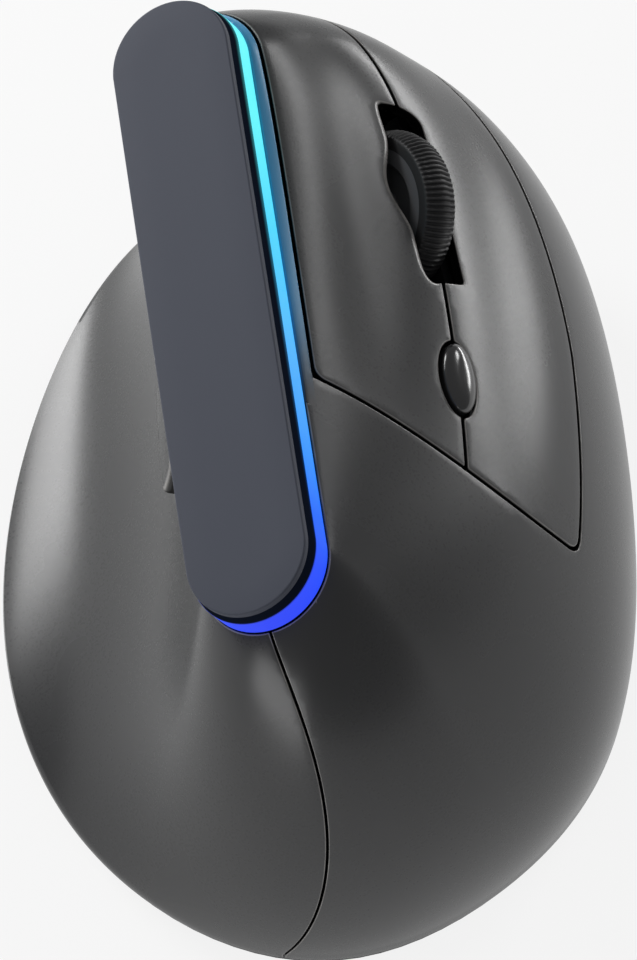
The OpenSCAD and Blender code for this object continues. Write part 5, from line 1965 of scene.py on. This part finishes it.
@dataclass
class Inside:
    """Frame, boards and other nodes that show as they are."""

    shop: Workshop

    def dress(self) -> None:
        """Gives every shown node the finish of its slot."""
        for part in frame["record"]["subparts"]:
            obj = frame["nodes"][part["node"]]
            if not obj.hide_render:
                self.shop.palette.dress(obj, Slot(part["material_slot"]))
                LOG.info("%s keeps its solid", part["node"])


@dataclass
class Softbox:
    """Soft rectangular lamp."""

    name: str
    place: tuple[float, float, float]
    size: tuple[float, float]
    power: float

    def build(self, aim: Vector) -> None:
        """Hangs the lamp so that it faces the aim point."""
        lamp = bpy.data.lights.new(self.name, "AREA")
        lamp.shape, lamp.size, lamp.size_y, lamp.energy = "RECTANGLE", *self.size, self.power
        obj = bpy.data.objects.new(self.name, lamp)
        obj.location = self.place
        obj.visible_camera = False
        obj.rotation_euler = (aim - Vector(self.place)).to_track_quat("-Z", "Y").to_euler()
        bpy.context.scene.collection.objects.link(obj)


@dataclass
class Studio:
    """Camera at the photographed angle, pale floor, white surround and soft lamps."""

    elevation: float = 62.0
    distance: float = 0.9
    lens: float = 253.1
    aim: tuple[float, float, float] = (0.00007, -0.00188, 0.029)
    reach: float = 2.0
    under: float = 0.0001
    ambient: float = 0.27
    paper: float = 0.85
    glow: float = 0.85
    matt: tuple[float, float] = (0.9, 0.1)
    horizon: tuple[float, float] = (0.01, 0.06)
    sensor: float = 36.0
    lamps: tuple[Softbox, ...] = (
        Softbox("high_strip", (0.37, 0.45, 0.42), (0.2, 0.1), 0.75),
        Softbox("low_strip", (0.5, 0.49, 0.07), (0.45, 0.1), 1.8),
        Softbox("left_box", (-0.51, 0.44, 0.22), (0.3, 0.42), 4.6),
        Softbox("rear_box", (-0.37, -0.59, 0.1), (0.5, 0.3), 1.8),
    )

    def camera(self) -> None:
        """Sets up the camera."""
        data = bpy.data.cameras.new("camera")
        data.lens, data.sensor_width = self.lens, self.sensor
        e = math.radians(self.elevation)
        back = Vector((0, -math.cos(e), math.sin(e)))
        obj = bpy.data.objects.new("camera", data)
        obj.location = Vector(self.aim) + back * self.distance
        obj.rotation_euler = (-back).to_track_quat("-Z", "Y").to_euler()
        bpy.context.scene.collection.objects.link(obj)
        bpy.context.scene.camera = obj

    def seen(self, g: NodeGraph) -> bpy.types.NodeSocket:
        """Mask of the rays that see the surround: camera, glossy and transmission rays."""
        path = g.add("ShaderNodeLightPath").outputs
        mirrored = g.math("MAXIMUM", path["Is Glossy Ray"], path["Is Transmission Ray"])
        return g.math("MAXIMUM", path["Is Camera Ray"], mirrored)

    def floor(self) -> None:
        """Lays the pale floor, which keeps the shadow."""
        n, z = self.reach, -self.under
        mesh = bpy.data.meshes.new("floor")
        mesh.from_pydata([(-n, -n, z), (n, -n, z), (n, n, z), (-n, n, z)], [], [(0, 1, 2, 3)])
        obj = link("floor", mesh)
        mat, g, shader = new_material("floor_paper")
        rough, specular = self.matt
        white = rgba((self.paper,) * 3)
        g.feed(shader, {"Base Color": white, "Roughness": rough, "Specular IOR Level": specular})
        light = g.add("ShaderNodeEmission", {"Color": (1, 1, 1, 1), "Strength": 1.0})
        share = g.math("MULTIPLY", self.seen(g), self.glow)
        mixed = g.add("ShaderNodeMixShader", {0: share, 1: shader.outputs[0], 2: light.outputs[0]})
        out = next(x for x in mat.node_tree.nodes if x.type == "OUTPUT_MATERIAL")
        g.feed(out, {0: mixed.outputs[0]})
        mesh.materials.append(mat)

    def world(self) -> None:
        """Surround that is white at the horizon and dim overhead."""
        world = bpy.data.worlds.new("surround")
        world.use_nodes = True
        g = NodeGraph(world.node_tree)
        back = next(x for x in world.node_tree.nodes if x.type == "BACKGROUND")
        height = g.axes(g.add("ShaderNodeTexCoord").outputs["Generated"])["Z"]
        strength = g.spread(height, *self.horizon, 1.0, self.ambient, True)
        g.feed(back, {"Color": (1, 1, 1, 1), "Strength": strength})
        bpy.context.scene.world = world

    def build(self) -> None:
        """Sets up the whole studio."""
        self.camera()
        self.floor()
        self.world()
        for lamp in self.lamps:
            lamp.build(Vector(self.aim))
        bpy.context.scene.view_settings.view_transform = "Standard"


def main() -> None:
    """Builds the sub-assemblies in order, then the studio."""
    logging.basicConfig(level=logging.INFO, format="%(name)s: %(message)s")
    shop = Workshop()
    for kind in (Housing, FingerKeys, Crest, ScrollWheel, OvalButton, Underside):
        LOG.info("building %s", kind.__name__)
        kind(shop).build()
    Inside(shop).dress()
    Studio().build()


if __name__ == "__main__":
    main()
